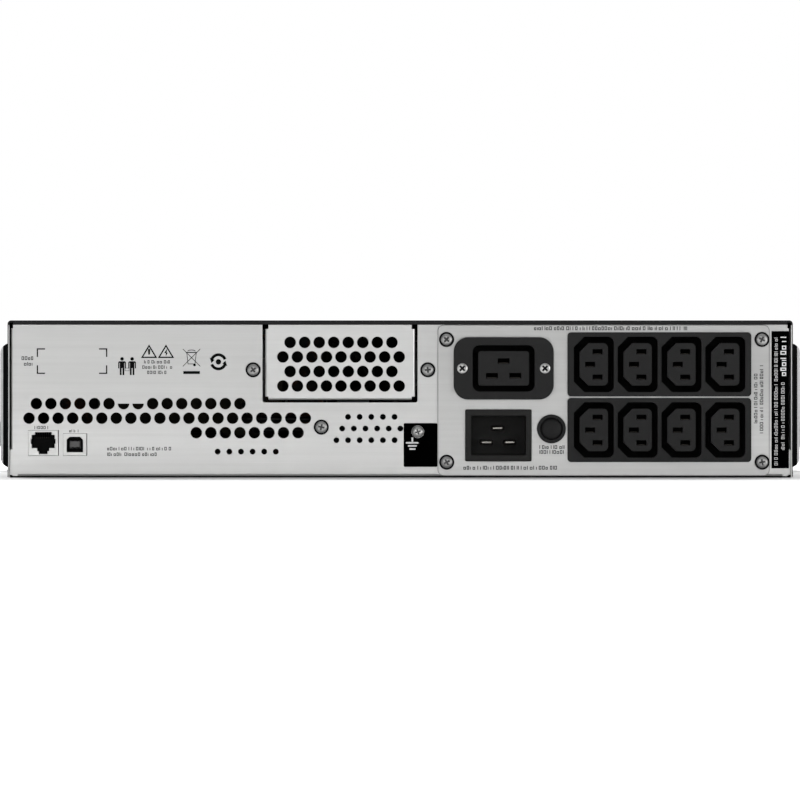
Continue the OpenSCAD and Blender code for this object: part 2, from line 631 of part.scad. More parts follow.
module comm_board() color([0.1, 0.32, 0.16]) board(comm_x, comm_y, comm_top - board_t, comm_rear_margin);

// ---------- power parts ----------

// Circuit board on four hexagonal spacers that stand on the pan
module board(x, y, z, rear_margin = 5) {
    corners = [for (a = [x[0] + 5, x[1] - 5], b = [y[0] + 5, y[1] - rear_margin]) [a, b]];
    difference() {
        span([x[0], y[0], z], [x[1], y[1], z + board_t]);
        for (c = corners) translate([c[0], c[1], z - 1]) cylinder(r = 1.6, h = board_t + 2);
    }
    for (c = corners) translate([c[0], c[1], pan_t]) difference() {
        cylinder(r = 3.5, h = z - pan_t + eps, $fn = 6);
        translate([0, 0, 4]) cylinder(r = 1.6, h = z);
    }
}
module main_board() color([0.1, 0.32, 0.16]) board(board_x, board_y, board_z);
module fin_profile() {
    square([5, 46]);
    for (i = [0:6]) translate([4.9, i * 7]) square([38, 2]);
}
module heatsink(x, flip) translate([x, board_y[0] + 20 + sink_l, board_z + board_t])
    mirror([flip, 0, 0]) rotate([90, 0, 0]) linear_extrude(sink_l) fin_profile();
module heatsink_left() color([0.6, 0.6, 0.62]) heatsink(board_x[0] + 6, 0);
module heatsink_right() color([0.6, 0.6, 0.62]) heatsink(board_x[1] - 6, 1);
module capacitors() color([0.12, 0.16, 0.3]) for (i = [0:4])
    translate([(board_x[0] + board_x[1]) / 2, board_y[0] + 36 + i * 40, board_z + board_t]) {
        cylinder(r = 17.5, h = 48);
        translate([0, 0, 48 - eps]) cylinder(r = 16.5, h = 1);
    }
module relays() color([0.15, 0.15, 0.16]) for (i = [0:4])
    translate([board_x[0] + 20 + i * 36, board_y[1] - 32, board_z + board_t]) cube([28, 16, 24]);
module choke() color([0.65, 0.35, 0.16]) translate([130, 190, pan_t + 13]) {
    rotate_extrude() translate([22, 0]) circle(r = 12.5);
}
module transformer_core() color([0.35, 0.33, 0.32]) translate(transformer_at) difference() {
    cube(core_size, center = true);
    for (s = [-1, 1]) translate([s * core_size[0] / 4, 0, 0])
        cube([core_window[0], core_size[1] + 2, core_window[1]], center = true);
}
// Winding that fills both core windows and bulges out at the ends
module transformer_coil() color([0.72, 0.55, 0.3]) translate(transformer_at) difference() {
    reach = core_size[0] / 4 + core_window[0] / 2 - 1;
    limb = core_size[0] / 2 - core_window[0] + 1;
    rotate([90, 0, 0]) translate([0, 0, -coil_l / 2])
        round_slab(2 * reach, core_window[1] - 1, 8, coil_l);
    cube([limb, core_size[1] + 0.4, 60], center = true);
}
module transformer_clamp() color([0.72, 0.72, 0.72])
    translate([transformer_at[0], transformer_at[1], 0]) difference() {
    foot_z = transformer_at[2] - core_size[2] / 2;
    union() {
        span([-84, -30, pan_t], [84, 30, foot_z]);
        for (s = [0, 1]) mirror([s, 0, 0])
            span([core_size[0] / 2 + 0.1, -30, pan_t], [core_size[0] / 2 + 2, 30, 64]);
    }
    for (s = [-1, 1], y = [-20, 20]) translate([s * 80, y, 0]) cylinder(r = 2.2, h = 8);
}
module fan_frames() color([0.08, 0.08, 0.09]) for (x = fan_x)
    translate([x, bulkhead_y + sheet + 0.05, body_h / 2 - 0.5]) rotate([-90, 0, 0]) {
        difference() {
            round_slab(fan_size, fan_size, 4, fan_d);
            translate([0, 0, -1]) cylinder(r = fan_size / 2 - 2, h = fan_d + 2);
            for (a = [-1, 1], b = [-1, 1]) translate([a * (fan_size / 2 - 4.3), b * (fan_size / 2 - 4.3), -1])
                cylinder(r = 2.1, h = fan_d + 2);
        }
        difference() {
            union() {
                translate([0, 0, fan_d - 2.5]) cylinder(r = 18, h = 2.5);
                for (a = [45:90:315]) rotate(a) translate([16, -2, fan_d - 2.5])
                    cube([fan_size / 2 - 17.5, 4, 2.5]);
                translate([0, 0, fan_d - 10]) cylinder(r = 4, h = 9);
            }
            translate([0, 0, -1]) cylinder(r = 1.55, h = fan_d);
        }
    }
module fan_rotor(x) translate([x, bulkhead_y + sheet + 0.05, body_h / 2 - 0.5]) rotate([-90, 0, 0]) {
    difference() {
        translate([0, 0, 1.2]) cylinder(r = 17, h = fan_d - 4.5);
        translate([0, 0, 3]) cylinder(r = 15.6, h = fan_d);
    }
    translate([0, 0, 2]) cylinder(r = 1.5, h = fan_d - 4);
    intersection() {
        for (a = [0:6]) rotate(a * 360 / 7) translate([16.3, 0, 11]) rotate([38, 0, 0])
            translate([0, -0.8, -12]) cube([26, 1.6, 24]);
        difference() {
            translate([0, 0, 2.5]) cylinder(r = fan_size / 2 - 2 - fan_clear, h = fan_d - 7);
            translate([0, 0, -1]) cylinder(r = 16.4, h = fan_d + 2);
        }
    }
}
module fan_rotor_left() color([0.1, 0.1, 0.1]) fan_rotor(fan_x[0]);
module fan_rotor_right() color([0.1, 0.1, 0.1]) fan_rotor(fan_x[1]);

module control_board() color([0.1, 0.32, 0.16]) {
    y0 = flange_y - 9;
    span([control_x[0] + 1, y0, control_z[0]], [control_x[1] - 1, y0 + 1.6, control_z[1]]);
    for (z = control_post_z) translate([button_at[0][0], flange_y - eps, z]) rotate([90, 0, 0])
        cylinder(r = 2.5, h = 7.4 + eps);
    for (b = button_at) translate([b[0], y0 + eps, b[1]]) rotate([90, 0, 0]) {
        linear_extrude(3.5) square([6, 6], center = true);
        cylinder(r = 1.7, h = switch_w - 9);
    }
}

// Fixed half of the battery connection, with two sockets facing the drawer
module chassis_plug() color([0.45, 0.46, 0.48]) difference() {
    union() {
        span([plug_x - 18, bulkhead_y - 18, plug_z - 10], [plug_x + 18, bulkhead_y + 12, plug_z + 10]);
        span([plug_x - 23, bulkhead_y - 2.2, plug_z - 10], [plug_x + 23, bulkhead_y - 0.05, plug_z + 10]);
    }
    for (s = [-1, 1]) translate([plug_x + s * plug_half, bulkhead_y - 19, plug_z]) rotate([-90, 0, 0])
        cylinder(r = 3.4, h = 16);
}

module power_leads() color([0.12, 0.12, 0.12]) {
    top = board_z + board_t;
    // battery feed, from the fixed connector to the board
    for (s = [-1, 1]) let (x = plug_x + s * plug_half, y = board_y[0] + 8)
        lead(route([[x, bulkhead_y + 12, plug_z], [x, y, plug_z], [x, y, top]], 8), 3);
    // transformer windings
    for (i = [0:2]) let (x = transformer_at[0] - 44 + i * 7, y = 234 + i * 9, z = 20 + i * 6)
        lead(route([[x, transformer_at[1] + coil_l / 2, z + 8], [x, 148, z + 8], [x, 160, z], [x, y, z],
                    [board_x[1] - 8, y, z], [board_x[1] - 8, y, top]], 6), 1.8);
    // signals from the communication board
    let (x0 = comm_x[0] + 14, x1 = board_x[1] - 5, y = comm_y[0] + 8, z = comm_top + 8)
        lead(route([[x0, y, comm_top], [x0, y, z], [x1, y, z], [x1, y, top]], 4), 1.2);
    // inlet, breaker and outlets: x, z and how far the body reaches in
    for (p = [[-46, 26, 26.8], [-62, 56, 26.8], [-83.4, 27, 24.8], [-112, 30, 24.8], [-168, 30, 24.8],
              [-104, 56, 24.8], [-176, 56, 24.8]])
        let (y = board_y[1] - 6)
            lead(route([[p[0], y, top], [p[0], y, p[1]], [p[0], rear_y - p[2], p[1]]], 5), 1.6);
}

// ---------- battery drawer ----------

module battery_tray() color([0.74, 0.74, 0.74]) difference() {
    union() {
        span([tray_x[0], tray_y0, tray_z], [tray_x[1], tray_y1, tray_z + tray_t]);
        for (x = [tray_x[0], tray_x[1] - tray_t])
            span([x, tray_y0, tray_z], [x + tray_t, tray_y1, tray_z + tray_wall]);
        span([tray_x[0], tray_y1 - tray_t, tray_z], [tray_x[1], tray_y1, tray_z + 52]);
    }
    for (s = [-1, 1]) translate([plug_x + s * plug_half, tray_y1, plug_z]) rotate([90, 0, 0])
        cylinder(r = 3.2, h = 8, center = true);
}
module drawer_front() color([0.72, 0.72, 0.72]) {
    difference() {
        span([drawer_plate_x[0], flange_y - 1.6, drawer_plate_z[0]],
             [drawer_plate_x[1], tray_y0, drawer_plate_z[1]]);
        for (x = thumb_x) translate([x, flange_y, thumb_z]) rotate([90, 0, 0])
            cylinder(r = 2.3, h = 8, center = true);
        for (r = [0:4], i = [0:13], s = [-1, 1])
            translate([drawer_cx + s * (62 + i * 8), flange_y, 22 + r * 9]) rotate([90, 0, 0])
                cylinder(r = 2, h = 8, center = true);
    }
    for (s = [-1, 1]) difference() {
        span([drawer_cx + s * (handle_half + 6) - 4, flange_y - 1.6 - pivot_out - 3.5, handle_z - 4.5],
             [drawer_cx + s * (handle_half + 6) + 4, flange_y - 1.6 + eps, handle_z + 4.5]);
        translate([drawer_cx, flange_y - 1.6 - pivot_out, handle_z]) rotate([0, 90, 0])
            cylinder(r = wire_r + pivot_clear, h = 100, center = true);
    }
}
module batteries() color([0.2, 0.2, 0.22]) for (row = [0, 1], i = [0:3])
    translate([battery_x0 + i * battery_w, battery_y0 + row * (battery_d + battery_gap), battery_z0])
        difference() {
            span([0.3, 0, 0], [battery_w - 0.3, battery_d, battery_h]);
            translate([battery_w / 2, row ? 0 : battery_d, battery_h - 20])
                cube([battery_w - 12, 3, 30], center = true);
        }
// Flat blades that stand out of the battery ends into the corridor between the two rows
module battery_terminals() color([0.75, 0.72, 0.6]) for (row = [0, 1], i = [0:3], s = [-1, 1])
    translate([battery_x0 + (i + 0.5) * battery_w + s * 32, battery_y0 + battery_d + row * battery_gap, 50])
        mirror([0, row, 0]) span([-3.1, -1.5, 0], [3.1, 5.4, 0.8]);
module pack_connector() color([0.45, 0.46, 0.48]) {
    y0 = tray_y1;
    difference() {
        span([plug_x - 18, y0, plug_z - 10], [plug_x + 18, y0 + 10, plug_z + 10]);
        for (s = [-1, 1]) translate([plug_x + s * plug_half, y0 - 1, plug_z]) rotate([-90, 0, 0])
            cylinder(r = 3.2, h = 4);
    }
    for (s = [-1, 1]) translate([plug_x + s * plug_half, y0 + 10 - eps, plug_z]) rotate([-90, 0, 0])
        cylinder(r = 3, h = 11);
}
module battery_leads() color([0.6, 0.08, 0.08]) {
    x = (tray_x[0] + tray_t + battery_x0) / 2;
    mid = battery_y0 + battery_d + battery_gap / 2;
    back = (battery_y0 + 2 * battery_d + battery_gap + tray_y1 - tray_t) / 2;
    for (s = [-1, 1]) let (over = 4.6 + s * 2.6, start_x = battery_x0 + 13, y = mid + s * 4,
                           plug = plug_x + s * plug_half)
        lead(route([[start_x, y, 44], [start_x, y, 34 + over], [x, y, 34 + over], [x, back, plug_z + over],
                    [plug, back, plug_z + over], [plug, back, plug_z], [plug, tray_y1 + 3, plug_z]], 1.9), 1.8);
}
module drawer_handle() color([0.6, 0.6, 0.62]) translate([drawer_cx, flange_y - 1.6 - pivot_out, handle_z]) {
    for (s = [0, 1]) mirror([s, 0, 0]) {
        translate([handle_half, 0, 0]) rotate([0, 90, 0]) cylinder(r = wire_r, h = 11);
        translate([handle_half, 0, 0]) sphere(r = wire_r);
        translate([handle_half, 0, -handle_arm]) cylinder(r = wire_r, h = handle_arm);
        translate([handle_half, 0, -handle_arm]) sphere(r = wire_r);
    }
    translate([-handle_half, 0, -handle_arm]) rotate([0, 90, 0]) cylinder(r = wire_r, h = 2 * handle_half);
    translate([-22, 0, -handle_arm]) rotate([0, 90, 0]) cylinder(r = 4, h = 44);
}
module thumbscrew(x) translate([x, flange_y - 1.6 - 0.1, thumb_z]) rotate([90, 0, 0]) difference() {
    union() {
        cylinder(r = 3.4, h = 1.5);
        translate([0, 0, 1.5 - eps]) cylinder(r = 5.5, h = 9);
        translate([0, 0, -7]) cylinder(r = 2, h = 7 + eps);
    }
    for (a = [0:20:340]) rotate(a) translate([5.8, 0, 2.5]) cylinder(r = 0.7, h = 9, $fn = 16);
    translate([-4, -0.6, 9]) cube([8, 1.2, 3]);
}
module thumbscrew_left() color([0.62, 0.62, 0.62]) thumbscrew(thumb_x[0]);
module thumbscrew_right() color([0.62, 0.62, 0.62]) thumbscrew(thumb_x[1]);

// ---------- bezel ----------

bezel_wall = 2;
bezel_face = 3;
bezel_h = body_h - 0.6;
grip_z0 = 2;
grille_x = [-176, 205];
grille_z = [13, 74];
module bezel_outline(inset) {
    translate([0, body_h / 2]) round_rect(body_w + 4 - 2 * inset, bezel_h - 2 * inset, 4 - inset);
    translate([0, grip_z0 + ear_h / 2]) round_rect(panel_w - 2 * inset, ear_h - 2 * inset, 6 - inset);
}
module bezel_shell() color([0.06, 0.06, 0.07]) {
    // pegs that snap into the ears
    for (s = [-1, 1]) at_front(s * peg_x, body_h / 2, -2.5) {
        cylinder(r = peg_r, h = bezel_d - bezel_face + 2.5 + eps);
        translate([0, 0, ear_t + 4.5]) cylinder(r = 3.4, h = bezel_d - bezel_face - ear_t - 2);
    }
    bezel_case();
}
module bezel_case() difference() {
    at_front(0, 0, ear_t + 0.3) linear_extrude(bezel_d - ear_t - 0.3) bezel_outline(0);
    at_front(0, 0, ear_t) linear_extrude(bezel_d - ear_t - bezel_face) bezel_outline(bezel_wall);
    at_front(0, 0, ear_t) linear_extrude(bezel_d) translate([grille_x[0], grille_z[0]])
        square([grille_x[1] - grille_x[0], grille_z[1] - grille_z[0]]);
    for (b = button_at) at_front(b[0], b[1], ear_t)
        round_slab(button_size[0] + 0.6, button_size[1] + 0.6, 2.3, bezel_d);
    at_front((control_x[0] + control_x[1]) / 2, (window_z[0] + window_z[1]) / 2, ear_t)
        round_slab(22.2, window_z[1] - window_z[0] + 0.2, 2, bezel_d);
}
module bezel_grille() color([0.05, 0.05, 0.06]) {
    y0 = -overall_d / 2 + 0.6;
    ends = [grille_x[0] + 0.2, grille_x[1] - 0.2];
    for (i = [0:7]) translate([0, y0 + 0.2, grille_z[0] + 4.4 + i * 7.4]) rotate([-30, 0, 0])
        span([ends[0], 0, -1], [ends[1], 6, 1]);
    for (i = [0:6]) translate([ends[0] + i * (ends[1] - ends[0] - 2.4) / 6, y0, grille_z[0] + 0.2])
        cube([2.4, 5.4, grille_z[1] - grille_z[0] - 0.4]);
    for (z = [grille_z[0] + 0.2, grille_z[1] - 1.8])
        span([ends[0], y0, z], [ends[1], y0 + 5.4, z + 1.6]);
}
module display_window() color([0.12, 0.13, 0.15]) {
    at_front((control_x[0] + control_x[1]) / 2, (window_z[0] + window_z[1]) / 2, bezel_d - bezel_face - 1)
        round_slab(24, window_z[1] - window_z[0] + 2, 2.4, 1);
    at_front((control_x[0] + control_x[1]) / 2, (window_z[0] + window_z[1]) / 2, bezel_d - bezel_face)
        round_slab(22, window_z[1] - window_z[0], 1.9, bezel_face - 0.3);
    // light pipes down to the lamps of the control board
    for (x = [-7, 0, 7], i = [0:4])
        at_front((control_x[0] + control_x[1]) / 2 + x, window_z[0] + 4.5 + i * 6, 10.5)
            cylinder(r = 1.2, h = bezel_d - bezel_face - 1 - 10.5 + eps);
}
// Button cap with a stem that reaches the switch on the control board
module bezel_button(b) at_front(b[0], b[1]) {
    lip_w = bezel_d - bezel_face - 1.4;
    stem_w = switch_w + button_travel + 0.4;
    translate([0, 0, lip_w]) round_slab(button_size[0], button_size[1], 2, bezel_d - 0.2 - lip_w);
    translate([0, 0, lip_w]) round_slab(button_size[0] + 2.4, button_size[1] + 2.4, 3, 1.2);
    translate([0, 0, stem_w]) cylinder(r = 2, h = lip_w - stem_w + eps);
}
module on_button() color([0.2, 0.2, 0.21]) bezel_button(button_at[0]);
module off_button() color([0.2, 0.2, 0.21]) bezel_button(button_at[1]);

base_pan();
top_cover();
cover_screws();
rear_panel();
front_frame();
mid_bulkhead();
drawer_glides();
ear_left();
ear_right();
ear_screws();
output_panel();
panel_screws();
rear_screws();
slot_cover();
slot_cage();
ground_label();
ground_screw();
side_label();
high_current_outlet();
flange_screws();
power_inlet();
inlet_pins();
outlet_gang_upper();
outlet_gang_lower();
outlet_contacts();
breaker_body();
breaker_button();
serial_port();
usb_port();
port_contacts();
comm_board();
main_board();
heatsink_left();
heatsink_right();
capacitors();
relays();
choke();
transformer_core();
transformer_coil();
transformer_clamp();
fan_frames();
fan_rotor_left();
fan_rotor_right();
control_board();
chassis_plug();
power_leads();
battery_tray();
drawer_front();
batteries();
battery_terminals();
pack_connector();
battery_leads();
drawer_handle();
thumbscrew_left();
thumbscrew_right();
bezel_shell();
bezel_grille();
display_window();
on_button();
off_button();
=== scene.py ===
"""Looks of the two-unit rackmount UPS, made around its CAD frame.

Sizes are in millimetres unless they say otherwise.
"""
import json
import math
import random

import bmesh
import bpy
from mathutils import Matrix, Vector


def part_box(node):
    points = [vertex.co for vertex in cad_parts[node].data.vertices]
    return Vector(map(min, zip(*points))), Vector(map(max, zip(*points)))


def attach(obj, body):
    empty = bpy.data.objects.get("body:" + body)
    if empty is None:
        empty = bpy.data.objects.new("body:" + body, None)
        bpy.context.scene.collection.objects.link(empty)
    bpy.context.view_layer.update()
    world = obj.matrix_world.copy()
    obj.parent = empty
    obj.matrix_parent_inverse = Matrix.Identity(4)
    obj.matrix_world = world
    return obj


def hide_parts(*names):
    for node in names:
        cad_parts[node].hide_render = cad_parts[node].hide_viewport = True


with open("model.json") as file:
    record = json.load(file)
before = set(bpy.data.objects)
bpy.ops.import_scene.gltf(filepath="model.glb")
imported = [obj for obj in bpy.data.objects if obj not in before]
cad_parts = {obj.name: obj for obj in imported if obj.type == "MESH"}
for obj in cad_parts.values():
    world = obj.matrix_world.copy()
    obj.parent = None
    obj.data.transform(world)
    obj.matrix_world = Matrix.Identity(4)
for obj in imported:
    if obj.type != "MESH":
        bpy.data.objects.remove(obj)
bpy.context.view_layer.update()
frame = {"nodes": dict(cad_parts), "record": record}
NODES = frame["nodes"]
SCENE = bpy.context.scene
MM = 0.001

# ---------- places that come from the frame ----------

PANEL_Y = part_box("rear_panel")[1].y     # outer face of the rear panel
PLATE_OUT = (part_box("output_panel")[1].y - PANEL_Y) / MM    # how far the output plate stands proud of it
COVER_SIDE_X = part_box("base_pan")[1].x  # inner face of the cover's sides
COVER_TOP_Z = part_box("top_cover")[1].z
BEZEL_LOW, BEZEL_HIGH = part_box("bezel_shell")
# The light strips on the bezel's ends are a painted highlight of its rounded rims.
RIM_HIGHLIGHT_X = BEZEL_HIGH.x - 1.6 * MM         # the light strips on the bezel's ends lie further out than this,
RIM_HIGHLIGHT_Y = BEZEL_LOW.y + 33 * MM           # and further to the rear than this
REAR_AXES = Matrix(((-1, 0, 0), (0, 0, 1), (0, 1, 0))).to_4x4()
FRONT_AXES = Matrix(((1, 0, 0), (0, 0, -1), (0, 1, 0))).to_4x4()


def at(point, axes, turn=0.0):
    """Matrix from millimetres in a face's own (right, up, out) to metres in the row frame."""
    return Matrix.Translation(point) @ axes @ Matrix.Rotation(turn, 4, "Z") @ Matrix.Scale(MM, 4)


def at_rear(u, v, w=0.0, turn=0.0):
    """Seen from behind: u right of the middle, v up, w out of the rear panel."""
    return at(Vector((-u * MM, PANEL_Y + w * MM, v * MM)), REAR_AXES, turn)


def seen_from_behind(point):
    """(u, v) of a point of the row frame."""
    return -point[0] / MM, point[2] / MM


def solids(node):
    """Boxes, as (lowest corner, highest corner), of the separate solids of one CAD node."""
    mesh = NODES[node].data
    keys = [tuple(round(c * 1e6) for c in v.co) for v in mesh.vertices]
    parent = {k: k for k in keys}

    def root(k):
        while parent[k] != k:
            parent[k] = parent[parent[k]]
            k = parent[k]
        return k

    for edge in mesh.edges:
        a, b = (root(keys[i]) for i in edge.vertices)
        parent[a] = b
    boxes = {}
    for vertex, key in zip(mesh.vertices, keys):
        low, high = boxes.setdefault(root(key), (vertex.co.copy(), vertex.co.copy()))
        for axis in range(3):
            low[axis] = min(low[axis], vertex.co[axis])
            high[axis] = max(high[axis], vertex.co[axis])
    return sorted(boxes.values(), key=lambda box: tuple(round(c, 5) for c in box[0]))


def middle(box):
    return (box[0] + box[1]) / 2


# ---------- meshes ----------

def prism(bm, outline, low, high):
    """Closed solid on a flat outline."""
    rings = [[bm.verts.new((x, y, z)) for x, y in outline] for z in (low, high)]
    bm.faces.new(rings[0][::-1])
    bm.faces.new(rings[1])
    for i in range(len(outline)):
        k = (i + 1) % len(outline)
        bm.faces.new((rings[0][i], rings[0][k], rings[1][k], rings[1][i]))


def circle(radius, steps=48, centre=(0, 0)):
    return [(centre[0] + radius * math.cos(2 * math.pi * i / steps),
             centre[1] + radius * math.sin(2 * math.pi * i / steps)) for i in range(steps)]


def rounded(width, height, radius, steps=6):
    """Outline of a rectangle with round corners, centred on the origin."""
    points = []
    for k, (sx, sy) in enumerate(((1, 1), (-1, 1), (-1, -1), (1, -1))):
        for i in range(steps + 1):
            a = math.pi / 2 * (k + i / steps)
            points.append((sx * (width / 2 - radius) + radius * math.cos(a),
                           sy * (height / 2 - radius) + radius * math.sin(a)))
    return points


def lathe(bm, profile, steps=48):
    """Solid of revolution about the local Z axis. The profile runs from axis to axis, as (radius, height)."""
    rings = []
    for radius, height in profile:
        count = steps if radius > 0 else 1
        rings.append([bm.verts.new((x, y, height)) for x, y in circle(radius, count)])
    for low, high in zip(rings, rings[1:]):
        for i in range(steps):
            k = (i + 1) % steps
            corners = [low[i % len(low)], low[k % len(low)], high[k % len(high)], high[i % len(high)]]
            bm.faces.new(list(dict.fromkeys(corners)))


def hull(bm, points):
    """Smallest convex solid round the points."""
    corners = [bm.verts.new(p) for p in points]
    made = bmesh.ops.convex_hull(bm, input=corners)
    spare = {g for g in made["geom_interior"] + made["geom_unused"] if isinstance(g, bmesh.types.BMVert)}
    bmesh.ops.delete(bm, geom=list(spare), context="VERTS")


def as_mesh(bm, name):
    bmesh.ops.recalc_face_normals(bm, faces=bm.faces)
    mesh = bpy.data.meshes.new(name)
    bm.to_mesh(mesh)
    bm.free()
    return mesh


def carve(body, *cutters):
    """The first bmesh with the others cut out of it, as a new bmesh."""
    block = bpy.data.objects.new("block", as_mesh(body, "block"))
    SCENE.collection.objects.link(block)
    spare = [block]
    for cutter in cutters:
        tool = bpy.data.objects.new("cutter", as_mesh(cutter, "cutter"))
        SCENE.collection.objects.link(tool)
        cut = block.modifiers.new("cut", "BOOLEAN")
        cut.operation, cut.solver, cut.object = "DIFFERENCE", "EXACT", tool
        spare.append(tool)
    bpy.context.view_layer.update()
    shape = block.evaluated_get(bpy.context.evaluated_depsgraph_get())
    result = bmesh.new()
    result.from_mesh(shape.data)
    for obj in spare:
        bpy.data.objects.remove(obj)
    return result


def copies(shape, places):
    """One bmesh that holds a copy of a shape at each place."""
    pattern = as_mesh(shape, "pattern")
    result = bmesh.new()
    for place in places:
        before = len(result.verts)
        result.from_mesh(pattern)
        result.verts.ensure_lookup_table()
        bmesh.ops.transform(result, matrix=place, verts=result.verts[before:])
    return result


def shade(mesh, sharp_above=38):
    """Smooth shading, except across edges that turn more than this many degrees."""
    mesh.polygons.foreach_set("use_smooth", [True] * len(mesh.polygons))
    mesh.set_sharp_from_angle(angle=math.radians(sharp_above))


def piece(name, bm, finish, body, stands_for=(), bevel=0.0):
    """Makes a bmesh a piece of the object, with a finish, on a body."""
    mesh = as_mesh(bm, name)
    shade(mesh)
    mesh.materials.append(FINISHES[finish])
    obj = bpy.data.objects.new(name, mesh)
    SCENE.collection.objects.link(obj)
    if bevel:
        soften(obj, bevel)
    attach(obj, body)
    if stands_for:
        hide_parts(*stands_for)
    return obj


def soften(obj, width):
    """Rounds the sharp edges of a piece."""
    bevel = obj.modifiers.new("edges", "BEVEL")
    bevel.width, bevel.segments = width * MM, 2
    bevel.limit_method, bevel.angle_limit = "ANGLE", math.radians(35)
    bevel.harden_normals = True


def weld(obj):
    """Joins the faces of a CAD solid, which come in apart, and drops the edges within a flat face."""
    mesh = obj.data
    if "custom_normal" in mesh.attributes:
        mesh.attributes.remove(mesh.attributes["custom_normal"])
    mesh.polygons.foreach_set("use_smooth", [True] * len(mesh.polygons))
    join = obj.modifiers.new("join", "WELD")
    join.merge_threshold = 2e-6
    flat = obj.modifiers.new("flat", "DECIMATE")
    flat.decimate_type, flat.angle_limit = "DISSOLVE", 0.004


# ---------- finishes ----------

class Finish:
    """A material in the making: its shader and the patterns that feed it."""

    def __init__(self, name, colour, roughness, metallic=0.0, specular=0.5, coat=0.0):
        self.material = bpy.data.materials.new(name)
        self.material.use_nodes = True
        self.tree = self.material.node_tree
        self.shader = self.tree.nodes["Principled BSDF"]
        self.colour = colour
        for socket, value in (
                ("Base Color", (*colour, 1)), ("Roughness", roughness), ("Metallic", metallic),
                ("Specular IOR Level", specular), ("Coat Weight", coat), ("Coat Roughness", 0.12)):
            self.shader.inputs[socket].default_value = value
        self.place = self.node("ShaderNodeTexCoord").outputs["Object"]
        FINISHES[name] = self.material

    def node(self, kind, settings=None, **inputs):
        """A node. Inputs that are sockets are linked, and the others are set.

        An input goes by its name, with _ for a space, or by i and its number.
        """
        made = self.tree.nodes.new(kind)
        for key, value in (settings or {}).items():
            setattr(made, key, value)
        for key, value in inputs.items():
            numbered = key[0] == "i" and key[1:].isdigit()
            socket = made.inputs[int(key[1:]) if numbered else key.replace("_", " ")]
            if isinstance(value, bpy.types.NodeSocket):
                self.tree.links.new(value, socket)
            else:
                socket.default_value = value
        return made

    def math(self, operation, a, b=0.0):
        return self.node("ShaderNodeMath", {"operation": operation}, i0=a, i1=b).outputs[0]

    def above(self, value, limit):
        """1 where the value is above the limit, and 0 elsewhere."""
        return self.math("GREATER_THAN", value, limit)

    def below(self, value, limit):
        return self.math("LESS_THAN", value, limit)

    def every(self, *factors):
        """Product of the factors: 1 where all of them are."""
        product = factors[0]
        for factor in factors[1:]:
            product = self.math("MULTIPLY", product, factor)
        return product

    def blend(self, a, part_a, b, part_b):
        """Sum of two values, each times its part."""
        return self.math("ADD", self.math("MULTIPLY", a, part_a), self.math("MULTIPLY", b, part_b))

    def scaled(self, size, stretch=(1, 1, 1)):
        """Coordinates in which one unit is a feature of this size, stretched along the axes."""
        scale = tuple(1 / (size * MM * s) for s in stretch)
        return self.node("ShaderNodeMapping", Vector=self.place, Scale=scale).outputs[0]

    def noise(self, size, stretch=(1, 1, 1), detail=2.0, rough=0.5):
        return self.node("ShaderNodeTexNoise", Vector=self.scaled(size, stretch), Scale=1.0, Detail=detail,
                         Roughness=rough).outputs["Fac"]

    def cells(self, size):
        return self.node("ShaderNodeTexVoronoi", Vector=self.scaled(size), Scale=1.0)

    def span(self, value, low, high, to_low=0.0, to_high=1.0):
        """A value moved from one range to another, and held within it."""
        return self.node("ShaderNodeMapRange", Value=value, From_Min=low, From_Max=high,
                         To_Min=to_low, To_Max=to_high).outputs[0]

    def axis(self, letter):
        """Position along X, Y or Z in metres."""
        return self.node("ShaderNodeSeparateXYZ", Vector=self.place).outputs[letter]

    def away(self, letter, plane=0.0):
        """Distance from a plane across X, Y or Z in metres."""
        return self.math("ABSOLUTE", self.math("SUBTRACT", self.axis(letter), plane))

    def mix(self, factor, a, b):
        made = self.node("ShaderNodeMix", {"data_type": "RGBA"}, i0=factor)
        for socket, value in ((made.inputs[6], a), (made.inputs[7], b)):
            if isinstance(value, bpy.types.NodeSocket):
                self.tree.links.new(value, socket)
            else:
                socket.default_value = (*value, 1)
        return made.outputs[2]

    def tint(self, factor, low, high):
        """Colour that runs from low to high times the base colour."""
        ends = [tuple(min(1.0, c * k) for c in self.colour) for k in (low, high)]
        return self.paint(self.mix(factor, *ends))

    def paint(self, colour):
        self.tree.links.new(colour, self.shader.inputs["Base Color"])
        return self

    def repaint(self, where, colour):
        """Another colour on top of what is there, where the factor is 1."""
        return self.paint(self.mix(where, self.shader.inputs["Base Color"].links[0].from_socket, colour))

    def polish(self, factor, low, high):
        """Roughness that runs from low to high."""
        self.tree.links.new(self.span(factor, 0.3, 0.7, low, high), self.shader.inputs["Roughness"])
        return self

    def metal(self, factor):
        self.tree.links.new(factor, self.shader.inputs["Metallic"])
        return self

    def emboss(self, height, depth):
        """Relief of this many millimetres, on top of what is there."""
        bump = self.node("ShaderNodeBump", Height=height, Distance=depth * MM, Strength=1.0)
        before = self.shader.inputs["Normal"]
        if before.is_linked:
            self.tree.links.new(before.links[0].from_socket, bump.inputs["Normal"])
        self.tree.links.new(bump.outputs[0], before)
        return self


FINISHES = {}
METALLIC_SHEET = 0.85      # zinc oxide dulls the sheet, so that part of it scatters
BARE_EDGE = (0.62, 0.62, 0.61)
# darker cut edge, which also serves as a painted shadow line round the output plate
EDGE_AND_SHADOW_DARK = (0.2, 0.2, 0.2)
# black painted as shade into the gaps round the slot cover
GAP_SHADE = (0.004, 0.004, 0.004)
RUST = (0.12, 0.055, 0.03)
SOLDER = (0.62, 0.63, 0.6)
ALONG_X, ALONG_Y = (90, 90, 1), (1, 90, 1)     # how far a streak is stretched along each axis


def times(colour, share):
    return tuple(c * share for c in colour)


